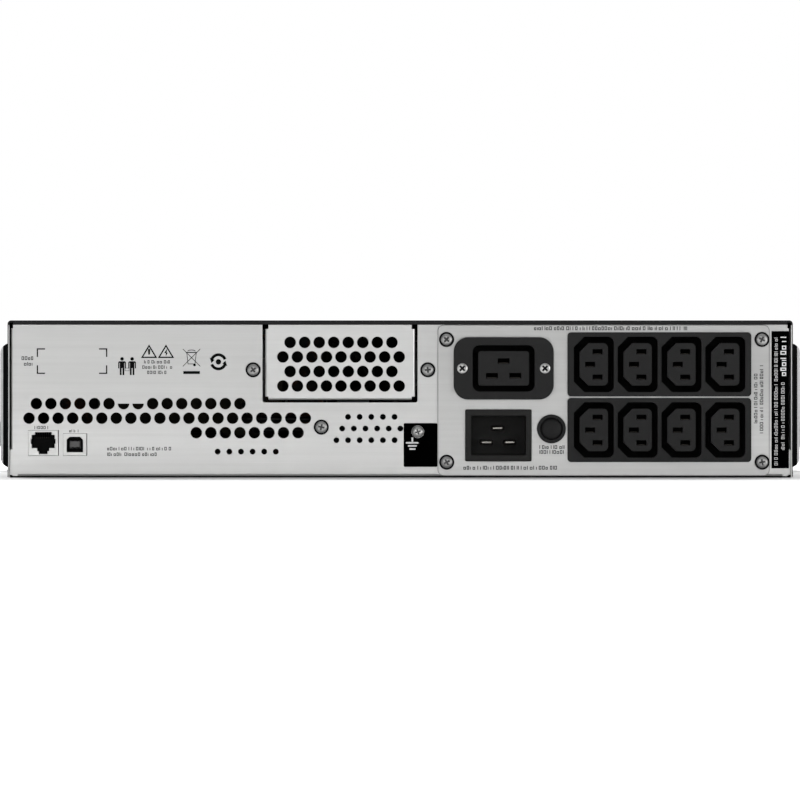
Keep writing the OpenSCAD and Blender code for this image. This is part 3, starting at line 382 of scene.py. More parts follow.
def sheet_metal(name, colour, roughness, streak=ALONG_X, contrast=0.05, painted_shade_below=None):
    """Galvanised sheet: faint rolling streaks along one axis, broad clouds, and small scratches."""
    f = Finish(name, colour, roughness, metallic=METALLIC_SHEET)
    fine, coarse = f.noise(0.35, streak, 3), f.noise(2.2, streak, 2)
    clouds = f.noise(55, (1.6, 1.6, 0.7), 3)
    tone = f.blend(coarse, 0.35, clouds, 0.65)
    tone = f.math("ADD", tone, f.math("MULTIPLY", f.math("SUBTRACT", fine, 0.5), 0.25))
    f.tint(f.span(tone, 0.3, 0.7), 1 - contrast, 1 + contrast)
    f.polish(f.blend(fine, 0.6, clouds, 0.4), roughness - 0.05, roughness + 0.06)
    f.emboss(fine, 0.004).emboss(coarse, 0.012)
    if painted_shade_below is not None:      # painted shade: the folded-in part is painted black and not metallic, standing for the shade in the gap round the slot cover
        inside = f.below(f.axis("Y"), PANEL_Y - painted_shade_below * MM)
        f.repaint(inside, GAP_SHADE)
        f.metal(f.math("SUBTRACT", METALLIC_SHEET, f.math("MULTIPLY", inside, METALLIC_SHEET)))
    return f


def cut_edge_and_shadow_rim(f, node, corner, width):
    """Makes the cut edge of a flat plate dark, which also paints the shadow line along the plate's edge: a
    rim of this width along the plate's rounded outline.
    """
    low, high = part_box(node)
    gaps = []
    for letter, axis in (("X", 0), ("Z", 2)):
        straight = (high[axis] - low[axis]) / 2 - corner * MM
        out = f.away(letter, (low[axis] + high[axis]) / 2)
        gaps.append(f.math("MAXIMUM", f.math("SUBTRACT", out, straight), 0.0))
    reach = f.math("SQRT", f.blend(gaps[0], gaps[0], gaps[1], gaps[1]))
    f.repaint(f.above(reach, (corner - width) * MM), EDGE_AND_SHADOW_DARK)


def plastic(name, colour, roughness, specular=0.35, grain=0.16, depth=0.012, matte_shaded_below=None,
            matte_and_shade=(0.95, 0.35)):
    """Moulded plastic with a fine spark-eroded grain and slightly uneven gloss.

    Further in than the given depth in millimetres the mould isn't polished, so that the recesses are matte,
    and their colour is darkened as painted shade. They have at least the pair's first value as roughness, and
    its second as their share of the colour.
    """
    f = Finish(name, colour, roughness, specular=specular)
    clouds = f.noise(14, detail=3)
    f.tint(f.span(clouds, 0.35, 0.65), 0.88, 1.12)
    f.polish(clouds, roughness - 0.04, roughness + 0.05)
    if matte_shaded_below is not None:
        least, share = matte_and_shade
        inside = f.below(f.axis("Y"), PANEL_Y - matte_shaded_below * MM)
        socket = f.shader.inputs["Roughness"]
        before = socket.links[0].from_socket
        f.tree.links.new(f.math("MAXIMUM", before, f.math("MULTIPLY", inside, least)), socket)
        # painted shade: the recesses are darker than the outer faces
        f.repaint(inside, times(colour, share))
    f.emboss(f.noise(grain, detail=2), depth)
    return f


def coated(name, colour, roughness=0.46, specular=0.25, bare=None):
    """Powder coat: a low orange-peel relief and small specks. Bare says where the cut edge has no paint."""
    f = Finish(name, colour, roughness, specular=specular)
    specks = f.span(f.noise(0.5, detail=1), 0.62, 0.75)
    clouds = f.noise(70, detail=3)
    f.tint(f.blend(specks, 0.5, clouds, 0.5), 0.8, 1.35)
    if bare:
        where = bare(f)
        f.repaint(where, BARE_EDGE).metal(where)
    f.polish(f.noise(6, detail=3), roughness - 0.02, roughness + 0.03)
    f.emboss(f.noise(1.1, detail=3, rough=0.6), 0.012)
    return f


def cover_edge(f):
    """The cut rear edges of the cover's two sides, without the outer part that the paint creeps round."""
    bare_width, edge_depth, bend_height = 0.62, 0.55, 2.6
    across = f.away("X")
    return f.every(f.above(across, COVER_SIDE_X), f.below(across, COVER_SIDE_X + bare_width * MM),
                   f.above(f.axis("Y"), PANEL_Y + edge_depth * MM),
                   f.below(f.axis("Z"), COVER_TOP_Z - bend_height * MM))


def pan_edge(f):
    """The cut rear ends of the pan's side walls."""
    wall, end_depth, floor_height = 2, 1.9, 1.2
    return f.every(f.above(f.away("X"), COVER_SIDE_X - wall * MM),
                   f.above(f.axis("Y"), PANEL_Y - end_depth * MM),
                   f.above(f.axis("Z"), floor_height * MM))


def rim_highlighted(name, colour, highlight_colour, highlight_x, highlight_y):
    """Moulded plastic with a painted highlight: a light strip on the rear rim of both ends."""
    f = plastic(name, colour, 0.47, specular=0.2, grain=0.35, depth=0.025)
    return f.repaint(f.every(f.above(f.away("X"), highlight_x), f.above(f.axis("Y"), highlight_y)), highlight_colour)


def plated(name, colour, roughness, contrast=0.1):
    """Plated small metal parts with light handling marks."""
    f = Finish(name, colour, roughness, metallic=1.0)
    marks = f.noise(0.9, detail=4, rough=0.65)
    f.tint(f.span(marks, 0.3, 0.7), 1 - contrast, 1 + contrast)
    f.polish(marks, roughness - 0.08, roughness + 0.1)
    f.emboss(f.noise(0.25, detail=2), 0.004)
    return f


def circuit_board(name, colour):
    """Solder mask over copper tracks, with small pads."""
    f = Finish(name, colour, 0.32, specular=0.5, coat=0.3)
    field, track_pitch, pad_pitch = 9, 1.3, 4.2
    chance = f.node("ShaderNodeSeparateColor", Color=f.cells(field).outputs["Color"]).outputs[0]
    lengthwise = f.above(chance, 0.5)
    crosswise = f.math("SUBTRACT", 1.0, lengthwise)
    waves = []
    for letter in "XY":
        phase = f.math("FRACT", f.math("MULTIPLY", f.axis(letter), 1 / (track_pitch * MM)))
        waves.append(f.above(phase, 0.55))
    tracks = f.blend(waves[0], lengthwise, waves[1], crosswise)
    pads = f.below(f.cells(pad_pitch).outputs["Distance"], 0.16)
    board = f.mix(tracks, times(colour, 0.8), times(colour, 1.5))
    return f.paint(f.mix(pads, board, SOLDER)).metal(pads).emboss(tracks, 0.03)


def wound(name, colour, pitch, letter, coat=0.4):
    """Windings of enamelled wire under varnish, side by side along one axis."""
    f = Finish(name, colour, 0.34, metallic=0.7, coat=coat)
    turn = f.math("SINE", f.math("MULTIPLY", f.axis(letter), 2 * math.pi / (pitch * MM)))
    f.tint(f.span(f.math("ADD", turn, f.noise(3)), -0.8, 1.6), 0.55, 1.25)
    f.polish(f.noise(2.5), 0.28, 0.42)
    f.emboss(turn, 0.12)
    return f


def laminated(name, colour, pitch, letter):
    """Stacked core sheets, seen as fine lines, with some surface rust and varnish."""
    f = Finish(name, colour, 0.55, metallic=0.6)
    lines = f.math("SINE", f.math("MULTIPLY", f.axis(letter), 2 * math.pi / (pitch * MM)))
    rust = f.span(f.noise(9, detail=5), 0.52, 0.68)
    f.paint(f.mix(f.span(lines, -1, 1), times(colour, 0.6), colour)).repaint(rust, RUST)
    f.polish(f.noise(4), 0.45, 0.65)
    f.emboss(lines, 0.05)
    return f


def two_part(name, colour, inner, depth, tongue=None):
    """Bright metal on the outer face, black plastic further in than the depth, and perhaps a lighter tongue.

    The tongue lies in the middle of a node: it is the node's name and the tongue's half width and height.
    """
    tongue_grey = (0.16, 0.16, 0.158)
    f = Finish(name, colour, 0.36, metallic=1.0, specular=0.05)
    outer = f.above(f.axis("Y"), PANEL_Y - depth * MM)
    streaks = f.noise(0.4, (12, 12, 1), 2)
    bright = f.mix(streaks, times(colour, 0.93), times(colour, 1.05))
    if tongue:
        node, *halves = tongue
        centre = middle(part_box(node))
        within = [f.below(f.away(letter, centre[axis]), half * MM)
                  for letter, axis, half in zip("XZ", (0, 2), halves)]
        inner = f.mix(f.every(*within), inner, tongue_grey)
    f.paint(f.mix(outer, inner, bright))
    f.metal(outer)
    f.polish(f.noise(2), 0.34, 0.42)
    f.emboss(f.noise(0.2), 0.006)
    return f


def ink(name, colour, roughness=0.6):
    """Screen-printed ink, a little uneven in cover."""
    f = Finish(name, colour, roughness, specular=0.05)
    cover = f.noise(0.35, detail=2)
    f.tint(f.span(cover, 0.3, 0.7), 0.85, 1.2)
    f.emboss(cover, 0.004)
    return f


def make_finishes():
    coated("black_paint", (0.0045, 0.0045, 0.005), 0.5, specular=0.15)
    coated("ear_paint", (0.003, 0.003, 0.0032), 0.6, specular=0.06)
    coated("cover_paint", (0.020, 0.020, 0.0206), 0.5, specular=0.11, bare=cover_edge)
    coated("pan_paint", (0.0045, 0.0045, 0.005), bare=pan_edge)
    sheet_metal("zinc_sheet", (0.575, 0.575, 0.567), 0.38, contrast=0.07)
    plate = sheet_metal("plate_zinc", (0.51, 0.51, 0.503), 0.38, contrast=0.07)
    cut_edge_and_shadow_rim(plate, "output_panel", corner=3.2, width=0.35)
    sheet_metal("slot_zinc", (0.635, 0.635, 0.626), 0.38, contrast=0.07, painted_shade_below=2.4)
    sheet_metal("inner_steel", (0.30, 0.305, 0.31), 0.40)
    plated("zinc_screw", (0.44, 0.44, 0.435), 0.40)
    plated("bright_screw", (0.55, 0.55, 0.54), 0.32, contrast=0.06)
    plated("black_screw", (0.012, 0.012, 0.013), 0.5)
    # painted shade in the cross recesses of the panel and earth screws
    plated("painted_recess_shade", (0.10, 0.10, 0.10), 0.6)
    plastic("outlet_plastic", (0.0100, 0.0100, 0.0102), 0.5, specular=0.27, matte_shaded_below=1.5)
    plastic("inlet_plastic", (0.0108, 0.0106, 0.0098), 0.5, specular=0.26, matte_shaded_below=2.5,
            matte_and_shade=(0.62, 0.65))
    plastic("breaker_plastic", (0.0075, 0.0075, 0.0077), 0.5, specular=0.26)
    plastic("label_black", (0.0006, 0.0006, 0.0006), 0.6, specular=0.0, grain=0.4, depth=0.004)
    plated("brass", (0.62, 0.44, 0.18), 0.34)
    plated("contact_metal", (0.06, 0.056, 0.05), 0.5)
    plated("pin_metal", (0.34, 0.33, 0.30), 0.4)
    for name, tongue in (("port_metal", None), ("usb_metal", ("usb_port", 3.1, 2.2))):
        two_part(name, (0.56, 0.56, 0.55), inner=(0.002, 0.002, 0.002), depth=0.9, tongue=tongue)
    circuit_board("board_green", (0.010, 0.07, 0.025))
    sheet_metal("sink_aluminium", (0.40, 0.41, 0.43), 0.40, streak=ALONG_Y, contrast=0.08)
    plastic("capacitor_sleeve", (0.012, 0.02, 0.07), 0.28, specular=0.5, grain=1.5, depth=0.01)
    plastic("relay_case", (0.012, 0.012, 0.014), 0.25, specular=0.5, grain=2.0, depth=0.004)
    # The winding wire and the coil tape are darker than their own colours, as painted shade for what shows
    # through the rear vents.
    wound("copper_wire", (0.04, 0.024, 0.017), pitch=1.4, letter="Z")
    laminated("core_iron", (0.03, 0.028, 0.026), pitch=1.0, letter="Y")
    wound("coil_tape", (0.016, 0.012, 0.006), pitch=2.6, letter="Y", coat=0.0)
    plastic("fan_black", (0.008, 0.008, 0.008), 0.45)
    plastic("plug_grey", (0.12, 0.125, 0.13), 0.42)
    plastic("lead_black", (0.008, 0.008, 0.008), 0.4, specular=0.4, grain=1.2, depth=0.01)
    plastic("lead_red", (0.22, 0.012, 0.010), 0.4, specular=0.4, grain=1.2, depth=0.01)
    plastic("glide_nylon", (0.72, 0.71, 0.66), 0.38, specular=0.4)
    plastic("battery_case", (0.022, 0.022, 0.024), 0.48, grain=0.5, depth=0.03)
    plated("handle_steel", (0.58, 0.58, 0.59), 0.24, contrast=0.05)
    # painted highlight on the bezel's end rims
    rim_highlighted("bezel_plastic", (0.005, 0.005, 0.0053), (0.85, 0.85, 0.85), RIM_HIGHLIGHT_X, RIM_HIGHLIGHT_Y)
    plastic("window_smoke", (0.004, 0.0045, 0.006), 0.08, specular=0.5, grain=3.0, depth=0.002)
    plastic("key_grey", (0.06, 0.06, 0.064), 0.42, grain=0.3, depth=0.015)
    ink("text_ink", (0.012, 0.012, 0.012))
    ink("dark_ink", (0.004, 0.004, 0.004))
    ink("white_ink", (0.95, 0.95, 0.94))
    ink("pale_ink", (0.6, 0.6, 0.6))
    ink("grey_ink", (0.16, 0.16, 0.17))


# Nodes that look different from the rest of their slot
LOOKS = {
    "output_panel": "plate_zinc", "slot_cover": "slot_zinc", "power_inlet": "inlet_plastic",
    "usb_port": "usb_metal", "top_cover": "cover_paint", "base_pan": "pan_paint",
    # mid_bulkhead is black as painted shade: it darkens what shows through the rear vents.
    "mid_bulkhead": "black_paint", "transformer_clamp": "black_paint",
    "ear_left": "ear_paint", "ear_right": "ear_paint",
}


# Rounding of the CAD nodes' edges, where it isn't the usual one. Nodes at 0 keep their edges.
USUAL_EDGE = 0.25
EDGES = {
    "high_current_outlet": 0.5, "power_inlet": 0.4, "outlet_gang_upper": 0.3, "outlet_gang_lower": 0.3,
    "bezel_shell": 0.9, "bezel_grille": 0.35, "batteries": 1.6, "battery_tray": 0.3, "breaker_body": 0.3,
    "rear_panel": 0.05, "output_panel": 0.4, "slot_cover": 0.05, "top_cover": 0.2, "drawer_front": 0.15,
    "ground_label": 0, "side_label": 0, "port_contacts": 0, "outlet_contacts": 0.1, "battery_terminals": 0.15,
    "serial_port": 0.12, "usb_port": 0.12, "relays": 0.8, "transformer_coil": 2.0, "chassis_plug": 0.6,
    "pack_connector": 0.6, "drawer_glides": 0.6, "display_window": 0.5, "on_button": 0.7, "off_button": 0.7,
}
ROUND_NODES = ("power_leads", "battery_leads")


def finish_nodes():
    """Gives each CAD node its finish, and its real soft edges."""
    for part in frame["record"]["subparts"]:
        obj = NODES[part["node"]]
        obj.data.materials.clear()
        obj.data.materials.append(FINISHES[LOOKS.get(part["node"], part["material_slot"])])
        weld(obj)
        edge = EDGES.get(part["node"], USUAL_EDGE)
        if part["node"] in ROUND_NODES:
            smooth = obj.modifiers.new("round", "SUBSURF")
            smooth.levels = smooth.render_levels = 2
        elif edge:
            soften(obj, edge)


# ---------- fasteners ----------

def cross_recess(length, width, depth, turn=0.0):
    """Two tapered wings that cut a cross recess, from the local z = 0 down."""
    wings = []
    for quarter in (0, 1):
        wing, spin = bmesh.new(), Matrix.Rotation(turn + quarter * math.pi / 2, 4, "Z")
        corners = []
        for z, long, wide in ((0.3, length, width), (-depth, length * 0.7, width * 0.9)):
            corners += [spin @ Vector((sx * long / 2, sy * wide / 2, z)) for sx in (-1, 1) for sy in (-1, 1)]
        hull(wing, corners)
        wings.append(wing)
    return wings


def recess_shade(length, width, low, high, turn=0.0):
    """Painted shade: a dark solid that fills the bottom of a cross recess."""
    half, arm = length / 2, width / 2
    corners = [Vector(c) for c in ((half, arm), (arm, arm), (arm, half))]
    outline = []
    for quarter in range(4):
        outline += [Matrix.Rotation(turn + quarter * math.pi / 2, 2) @ corner for corner in corners]
    bm = bmesh.new()
    prism(bm, outline, low, high)
    return bm


def pan_head(diameter, height, cross, shank):
    """Low-domed screw head with a steep rim on a short shank, with a cross recess, standing on z = 0."""
    radius, side, rim, reach = diameter / 2, height * 0.42, 0.15, 3
    dome = [(radius * math.cos(a) ** 0.55, side + (height - side) * math.sin(a) ** 1.25)
            for a in (math.pi / 2 * i / 10 for i in range(10))]
    foot = [(0, -reach), (shank / 2, -reach), (shank / 2, 0), (radius - rim, 0), (radius, rim)]
    head = bmesh.new()
    lathe(head, [*foot, *dome, (0, height)])
    wings = cross_recess(cross, cross * 0.27, height * 0.8)
    for wing in wings:
        bmesh.ops.translate(wing, verts=wing.verts, vec=(0, 0, height))
    return carve(head, *wings)


def washer(diameter, height, hole):
    """Flat ring with rounded rims."""
    outer, inner, rim = diameter / 2, hole / 2, min(0.2, height / 3)
    profile = [(inner, 0), (outer - rim, 0), (outer, rim),
               (outer, height - rim), (outer - rim, height), (inner, height)]
    bm = bmesh.new()
    rings = [[bm.verts.new((x, y, z)) for x, y in circle(r)] for r, z in profile]
    for low, high in zip(rings, rings[1:] + rings[:1]):
        for i in range(len(low)):
            k = (i + 1) % len(low)
            bm.faces.new((low[i], low[k], high[k], high[i]))
    return bm


WASHER_D, WASHER_H, HEAD_D, HEAD_H, SHANK_D = 8.3, 0.8, 6.3, 1.7, 3.4
HEAD_TURNS = (0.2, 1.1, 0.5, 0.85, 0.1, 1.35, 0.6, 0.3)     # how far each screw happened to stop
CAD_HEAD_H = 2.4        # height of the CAD screws' heads with their washers


def panel_fasteners():
    """Screws with captive washers in the rear sheet metal. The washers are black as a painted shadow round
    the heads.
    """
    nodes = ("panel_screws", "rear_screws")
    feet = []
    for box, turn in zip(solids(nodes[0]) + solids(nodes[1]), HEAD_TURNS):
        u, v = seen_from_behind(middle(box))
        feet.append(at_rear(u, v, (box[1].y - PANEL_Y) / MM - CAD_HEAD_H, turn))
    lifted = [foot @ Matrix.Translation((0, 0, WASHER_H * 0.7)) for foot in feet]
    washers = copies(washer(WASHER_D, WASHER_H, SHANK_D), feet)
    heads = copies(pan_head(HEAD_D, HEAD_H, 4.0, SHANK_D), lifted)
    recess_shading = copies(recess_shade(3.3, 1.0, HEAD_H * 0.3, HEAD_H - 0.55), lifted)
    # painted shadow: black washer rings round the heads
    piece("panel_washers", washers, "black_screw", "chassis", nodes)
    piece("panel_screw_heads", heads, "zinc_screw", "chassis", nodes)
    piece("panel_screw_recesses", recess_shading, "painted_recess_shade", "chassis", nodes)


def earth_fastener():
    """Screw with a washer on the black label."""
    nodes = ("ground_screw",)
    u, v = seen_from_behind(middle(solids("ground_screw")[0]))
    gap = 0.02
    foot = at_rear(u, v, gap)
    lifted = at_rear(u, v, gap, 0.3) @ Matrix.Translation((0, 0, 0.4))
    head = copies(pan_head(5.9, 1.8, 3.5, SHANK_D), [lifted])
    recess_shading = copies(recess_shade(2.9, 0.9, 0.55, 1.25), [lifted])
    piece("earth_washer", copies(washer(6.4, 0.6, SHANK_D), [foot]), "black_screw", "chassis", nodes)
    piece("earth_screw_head", head, "bright_screw", "chassis", nodes)
    piece("earth_screw_recess", recess_shading, "painted_recess_shade", "chassis", nodes)


def flange_fasteners():
    """Countersunk screws of the 16 A outlet, stopped at 45 degrees."""
    nodes = ("flange_screws",)
    shank, cone, crown = 1.5, 2.85, 0.3     # two radii and a height
    head = bmesh.new()
    lathe(head, [(0, -6), (shank, -6), (shank, -1.25), (cone, -0.12), (cone, 0), (cone - 0.25, 0.16),
                 (cone - 1.25, 0.26), (0, crown)])
    shape = carve(head, *cross_recess(4.1, 1.15, 1.3, math.pi / 4))
    places = []
    for box in solids("flange_screws"):
        u, v = seen_from_behind(middle(box))
        places.append(at_rear(u, v, (box[1].y - PANEL_Y) / MM - 0.05))
    recess_shading = copies(recess_shade(3.75, 1.08, -1.0, -0.1, math.pi / 4), places)
    piece("flange_screw_heads", copies(shape, places), "bright_screw", "chassis", nodes)
    # painted shade: the flange screws' recesses are filled black
    piece("flange_screw_recesses", recess_shading, "black_screw", "chassis", nodes)


def side_fasteners(node, diameter, height):
    """Cross-head screws in the sides of the enclosure."""
    places = []
    for k, box in enumerate(solids(node)):
        out = 1 if middle(box).x > 0 else -1
        face = (box[1].x if out > 0 else box[0].x) - out * height * MM
        axes = Matrix(((0, 0, out), (out, 0, 0), (0, 1, 0))).to_4x4()
        centre = Vector((face, middle(box).y, middle(box).z))
        places.append(at(centre, axes, HEAD_TURNS[k % len(HEAD_TURNS)]))
    heads = copies(pan_head(diameter, height, diameter * 0.56, SHANK_D), places)
    piece(node + "_heads", heads, "black_screw", "chassis", (node,))


# ---------- connectors ----------

def inlet_blades():
    """Three blades with chamfered tips inside the inlet."""
    chamfer = Vector((0.5, 0.9, 0.62)) * MM
    bm = bmesh.new()
    for low, high in solids("inlet_pins"):
        points = []
        for y, in_x, in_z in ((low.y, 0, 0), (high.y - chamfer.y, 0, 0), (high.y, chamfer.x, chamfer.z)):
            points += [(x, y, z) for x in (low.x + in_x, high.x - in_x)
                       for z in (low.z + in_z, high.z - in_z)]
        hull(bm, points)
    piece("inlet_blades", bm, "pin_metal", "chassis", ("inlet_pins",), bevel=0.15)


def breaker_key():
    """Reset button with a crowned face and a shallow mark across it."""
    low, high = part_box("breaker_button")
    u, v = seen_from_behind((low + high) / 2)
    radius, depth = (high.x - low.x) / 2 / MM, (high.y - low.y) / MM
    stem, crown, disc, mark_depth = 3.0, 1.1, 1.6, 0.28
    face = [((radius - 0.25) * math.cos(a), -crown * (1 - math.sin(a)))
            for a in (math.pi / 2 * i / 9 for i in range(9))]
    button = bmesh.new()
    lathe(button, [(0, -depth), (stem, -depth), (stem, -disc), (radius - 0.2, -disc), (radius, 0.15 - disc),
                   (radius, -crown - 0.1), *face, (0, 0)])
    mark = bmesh.new()
    prism(mark, rounded(1.6, 3.8, 0.3), -mark_depth, 1)
    shape = copies(carve(button, mark), [at_rear(u, v, (high.y - PANEL_Y) / MM)])
    piece("breaker_key", shape, "breaker_plastic", "breaker_key", ("breaker_button",))


# ---------- printed marks ----------

INK = 0.04      # how high the ink stands


class Print:
    """Flat ink marks on one surface, as one thin piece. Coordinates are (u, v) seen from behind."""

    def __init__(self, surface):
        self.bm, self.low, self.high = bmesh.new(), surface, surface + INK

    def shape(self, outline):
        prism(self.bm, outline, self.low, self.high)

    def bar(self, u0, v0, u1, v1):
        self.shape([(u0, v0), (u1, v0), (u1, v1), (u0, v1)])

    def stroke(self, points, width, closed=False):
        """Line of one width through the points, mitred at its corners."""
        count, rings = len(points), []
        for i, point in enumerate(points):
            here = Vector(point)
            ways = []
            if closed or i > 0:
                ways.append((here - Vector(points[i - 1])).normalized())
            if closed or i < count - 1:
                ways.append((Vector(points[(i + 1) % count]) - here).normalized())
            normals = [Vector((-way.y, way.x)) for way in ways]
            mitre = sum(normals, Vector((0, 0))).normalized()
            mitre *= width / 2 / max(0.3, mitre.dot(normals[0]))
            rings.append([self.bm.verts.new((*(here + side * mitre), z))
                          for side, z in ((1, self.low), (-1, self.low), (-1, self.high), (1, self.high))])
        for i in range(count if closed else count - 1):
            a, b = rings[i], rings[(i + 1) % count]
            for k in range(4):
                n = (k + 1) % 4
                self.bm.faces.new((a[k], a[n], b[n], b[k]))
        if not closed:
            self.bm.faces.new(rings[0][::-1])
            self.bm.faces.new(rings[-1])

    def words(self, u0, u1, v0, v1, seed, upright=False):
        """A line of small blank boxes and bars in place of text, in groups as long as words.

        An upright line runs up the surface. The two u and the two v are its limits.
        """
        chance = random.Random(seed)
        start, end, low, high = (v0, v1, u0, u1) if upright else (u0, u1, v0, v1)
        tall = high - low
        line = tall * 0.19
        left = chance.randint(3, 7)
        while start < end - tall * 0.3:
            wide = tall * chance.choice((0.12, 0.5, 0.58, 0.66, 0.7))
            top = high if chance.random() < 0.6 else low + tall * 0.74
            stop = min(end, start + wide)
            a, b = start + line / 2, stop - line / 2
            corners = [(a, low + line / 2), (b, low + line / 2), (b, top - line / 2), (a, top - line / 2)]
            if stop - start < 3 * line:
                corners = [(a, low), (a, top)]
            if upright:
                corners = [(low + high - y, x) for x, y in corners]
            self.stroke(corners, line, closed=len(corners) == 4)
            left -= 1
            start = stop + tall * (0.22 if left else 0.6)
            left = left or chance.randint(3, 7)

    def done(self, name, finish, slot):
        piece(name, copies(self.bm, [at_rear(0, 0)]), finish, "chassis")


def corner_marks(ink_on, u0, u1, v0, v1, arm_u, arm_v, width):
    """Four corners that mark where a plate is stuck."""
    for u, su in ((u0, 1), (u1, -1)):
        for v, sv in ((v0, 1), (v1, -1)):
            ink_on.stroke([(u + su * arm_u, v), (u, v), (u, v + sv * arm_v)], width)


# Right half of a standing figure's outline, from the fork to the shoulder, in tenths of the height
FIGURE = ((0.25, 3.9), (0.25, 0), (1.25, 0), (1.25, 6.8), (1.5, 6.8), (1.5, 3.7), (2.15, 3.7), (2.15, 7.1),
          (1.6, 7.7))


def lifting_pair(ink_on, u0, v0, height):
    """Two plain figures that carry one load."""
    unit = height / 10
    outline = [*FIGURE, *((-x, y) for x, y in reversed(FIGURE))]
    for u in (u0 + 2.4 * unit, u0 + 8.0 * unit):
        ink_on.shape(circle(1.0 * unit, 20, (u, v0 + 9.0 * unit)))
        ink_on.shape([(u + x * unit, v0 + y * unit) for x, y in outline])
    load = [(u0 + x * unit, v0 + y * unit) for x, y in ((4.1, 2.4), (6.3, 2.4), (6.3, 3.9), (4.1, 3.9))]
    ink_on.stroke(load, 0.22 * unit, closed=True)


def notice_triangle(ink_on, u0, u1, v0, v1, inner):
    """Outlined triangle with a plain sign inside."""
    line, corner, middle_u = 0.74, 0.5, (u0 + u1) / 2
    ink_on.stroke([(u0 + corner, v0 + line / 2), (u1 - corner, v0 + line / 2), (middle_u, v1 - line)], line,
                  closed=True)
    ink_on.shape([(middle_u + x, v0 + y) for x, y in inner])


def bin_symbol(ink_on, u, v, size):
    """Crossed-out bin."""
    thin, thick = 0.36, 0.55

    def line(points, width):
        ink_on.stroke([(u + x * size, v + y * size) for x, y in points], width)

    line([(-0.5, -0.5), (0.5, 0.5)], thin)
    line([(-0.5, 0.5), (0.5, -0.5)], thin)
    line([(-0.32, 0.30), (0.32, 0.30)], thick)
    line([(-0.27, 0.26), (-0.2, -0.36), (0.2, -0.36), (0.27, 0.26)], thin)
    line([(-0.22, 0.38), (-0.132, 0.428), (0, 0.44), (0.132, 0.428), (0.22, 0.38)], 0.4)
    ink_on.shape(circle(0.08 * size, 16, (u + 0.17 * size, v - 0.42 * size)))


def recycling_ring(ink_on, u, v, radius):
    """Open ring of two arrows round a dot, with nothing written in it."""
    line, barb, dot = 1.6, 1.5, 1.5

    def around(degrees, reach):
        angle = math.radians(degrees)
        return u + reach * math.cos(angle), v + reach * math.sin(angle)

    for start in (20, 200):
        ink_on.stroke([around(start + 138 * i / 12, radius) for i in range(13)], line)
        ink_on.shape([around(start + 170, radius), around(start + 134, radius - barb),
                      around(start + 134, radius + barb)])
    ink_on.shape(circle(dot, 20, (u, v)))


def panel_print():
    """Marks on the bare rear panel: bold signs, and grey lines of small blocks in place of text."""
    bold, text = Print(0), Print(0)
    corner_marks(bold, -199.6, -161.5, 57.4, 70.8, arm_u=4.2, arm_v=4.4, width=0.7)
    lifting_pair(bold, -155.4, 56.4, height=9.9)
    wedge = [(-0.45, 1.9), (0.45, 1.9), (0.65, 5.0), (-0.65, 5.0)]
    flash = [(-0.1, 0.9), (1.0, 3.0), (0.3, 3.0), (0.8, 5.3), (-1.0, 2.8), (-0.1, 2.8)]
    for left, sign in ((-142.5, wedge), (-133.2, flash)):
        notice_triangle(bold, left, left + 8.7, 65.8, 73.3, sign)
    bin_symbol(bold, -114.8, 66.0, size=9.6)
    bold.bar(-119.35, 57.0, -110.2, 58.6)
    recycling_ring(bold, -100.0, 63.7, radius=3.9)
    bold.done("panel_signs", "dark_ink", "label_black")
    beside_corners = ((-208.3, -201.6, 64.7, 66.7), (-207.0, -201.6, 61.6, 63.6))
    under_triangles = ((-140.9, -126.0, 62.8, 64.6), (-141.9, -125.2, 59.9, 61.7),
                       (-139.2, -128.4, 57.0, 58.8))
    near_bottom = ((-161.2, -125.4, 15.0, 16.9), (-161.2, -133.2, 11.9, 13.8))
    over_ports = ((-201.2, -193.2, 26.7, 28.4), (-182.1, -176.7, 24.9, 26.5))
    for seed, place in enumerate((*beside_corners, *under_triangles, *near_bottom, *over_ports)):
        text.words(*place, seed)
    text.done("panel_lines", "text_ink", "label_black")


def plate_print():
    """Grey lines on the output plate."""
    text = Print(PLATE_OUT)
    along_edges = ((73.6, 158.3, 81.1, 83.2), (34.8, 86.6, 4.4, 6.5))
    under_breaker = ((76.6, 90.8, 15.8, 17.8), (76.6, 90.8, 13.1, 15.1))
    for seed, place in enumerate((*along_edges, *under_breaker), 20):
        text.words(*place, seed)
    text.words(194.6, 196.5, 29.9, 57.6, 25, upright=True)
    text.words(197.8, 199.7, 24.4, 63.1, 26, upright=True)
    text.done("plate_lines", "text_ink", "label_black")


def label_prints():
    """White marks on the two black labels."""
    top = (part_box("ground_label")[1].y - PANEL_Y) / MM
    white, pale = Print(top), Print(top)
    white.bar(6.2, 19.7, 7.2, 22.1)
    for centre_u, centre_v, width in ((6.6, 19.15, 7.0), (6.7, 17.45, 5.0), (6.75, 15.75, 3.5)):
        white.shape([(centre_u + u, centre_v + v) for u, v in rounded(width, 0.9, 0.4, 4)])
    white.words(209.2, 212.4, 55.9, 78.2, 17, upright=True)
    white.done("label_signs", "white_ink", "label_black")
    pale.words(209.6, 211.5, 15.2, 53.0, 18, upright=True)
    pale.words(205.8, 207.7, 6.7, 78.4, 19, upright=True)
    pale.done("label_lines", "pale_ink", "label_black")


def on_front(low, high):
    """Place in the middle of the front face of a box."""
    return at(Vector(((low.x + high.x) / 2, low.y, (low.z + high.z) / 2)), FRONT_AXES)


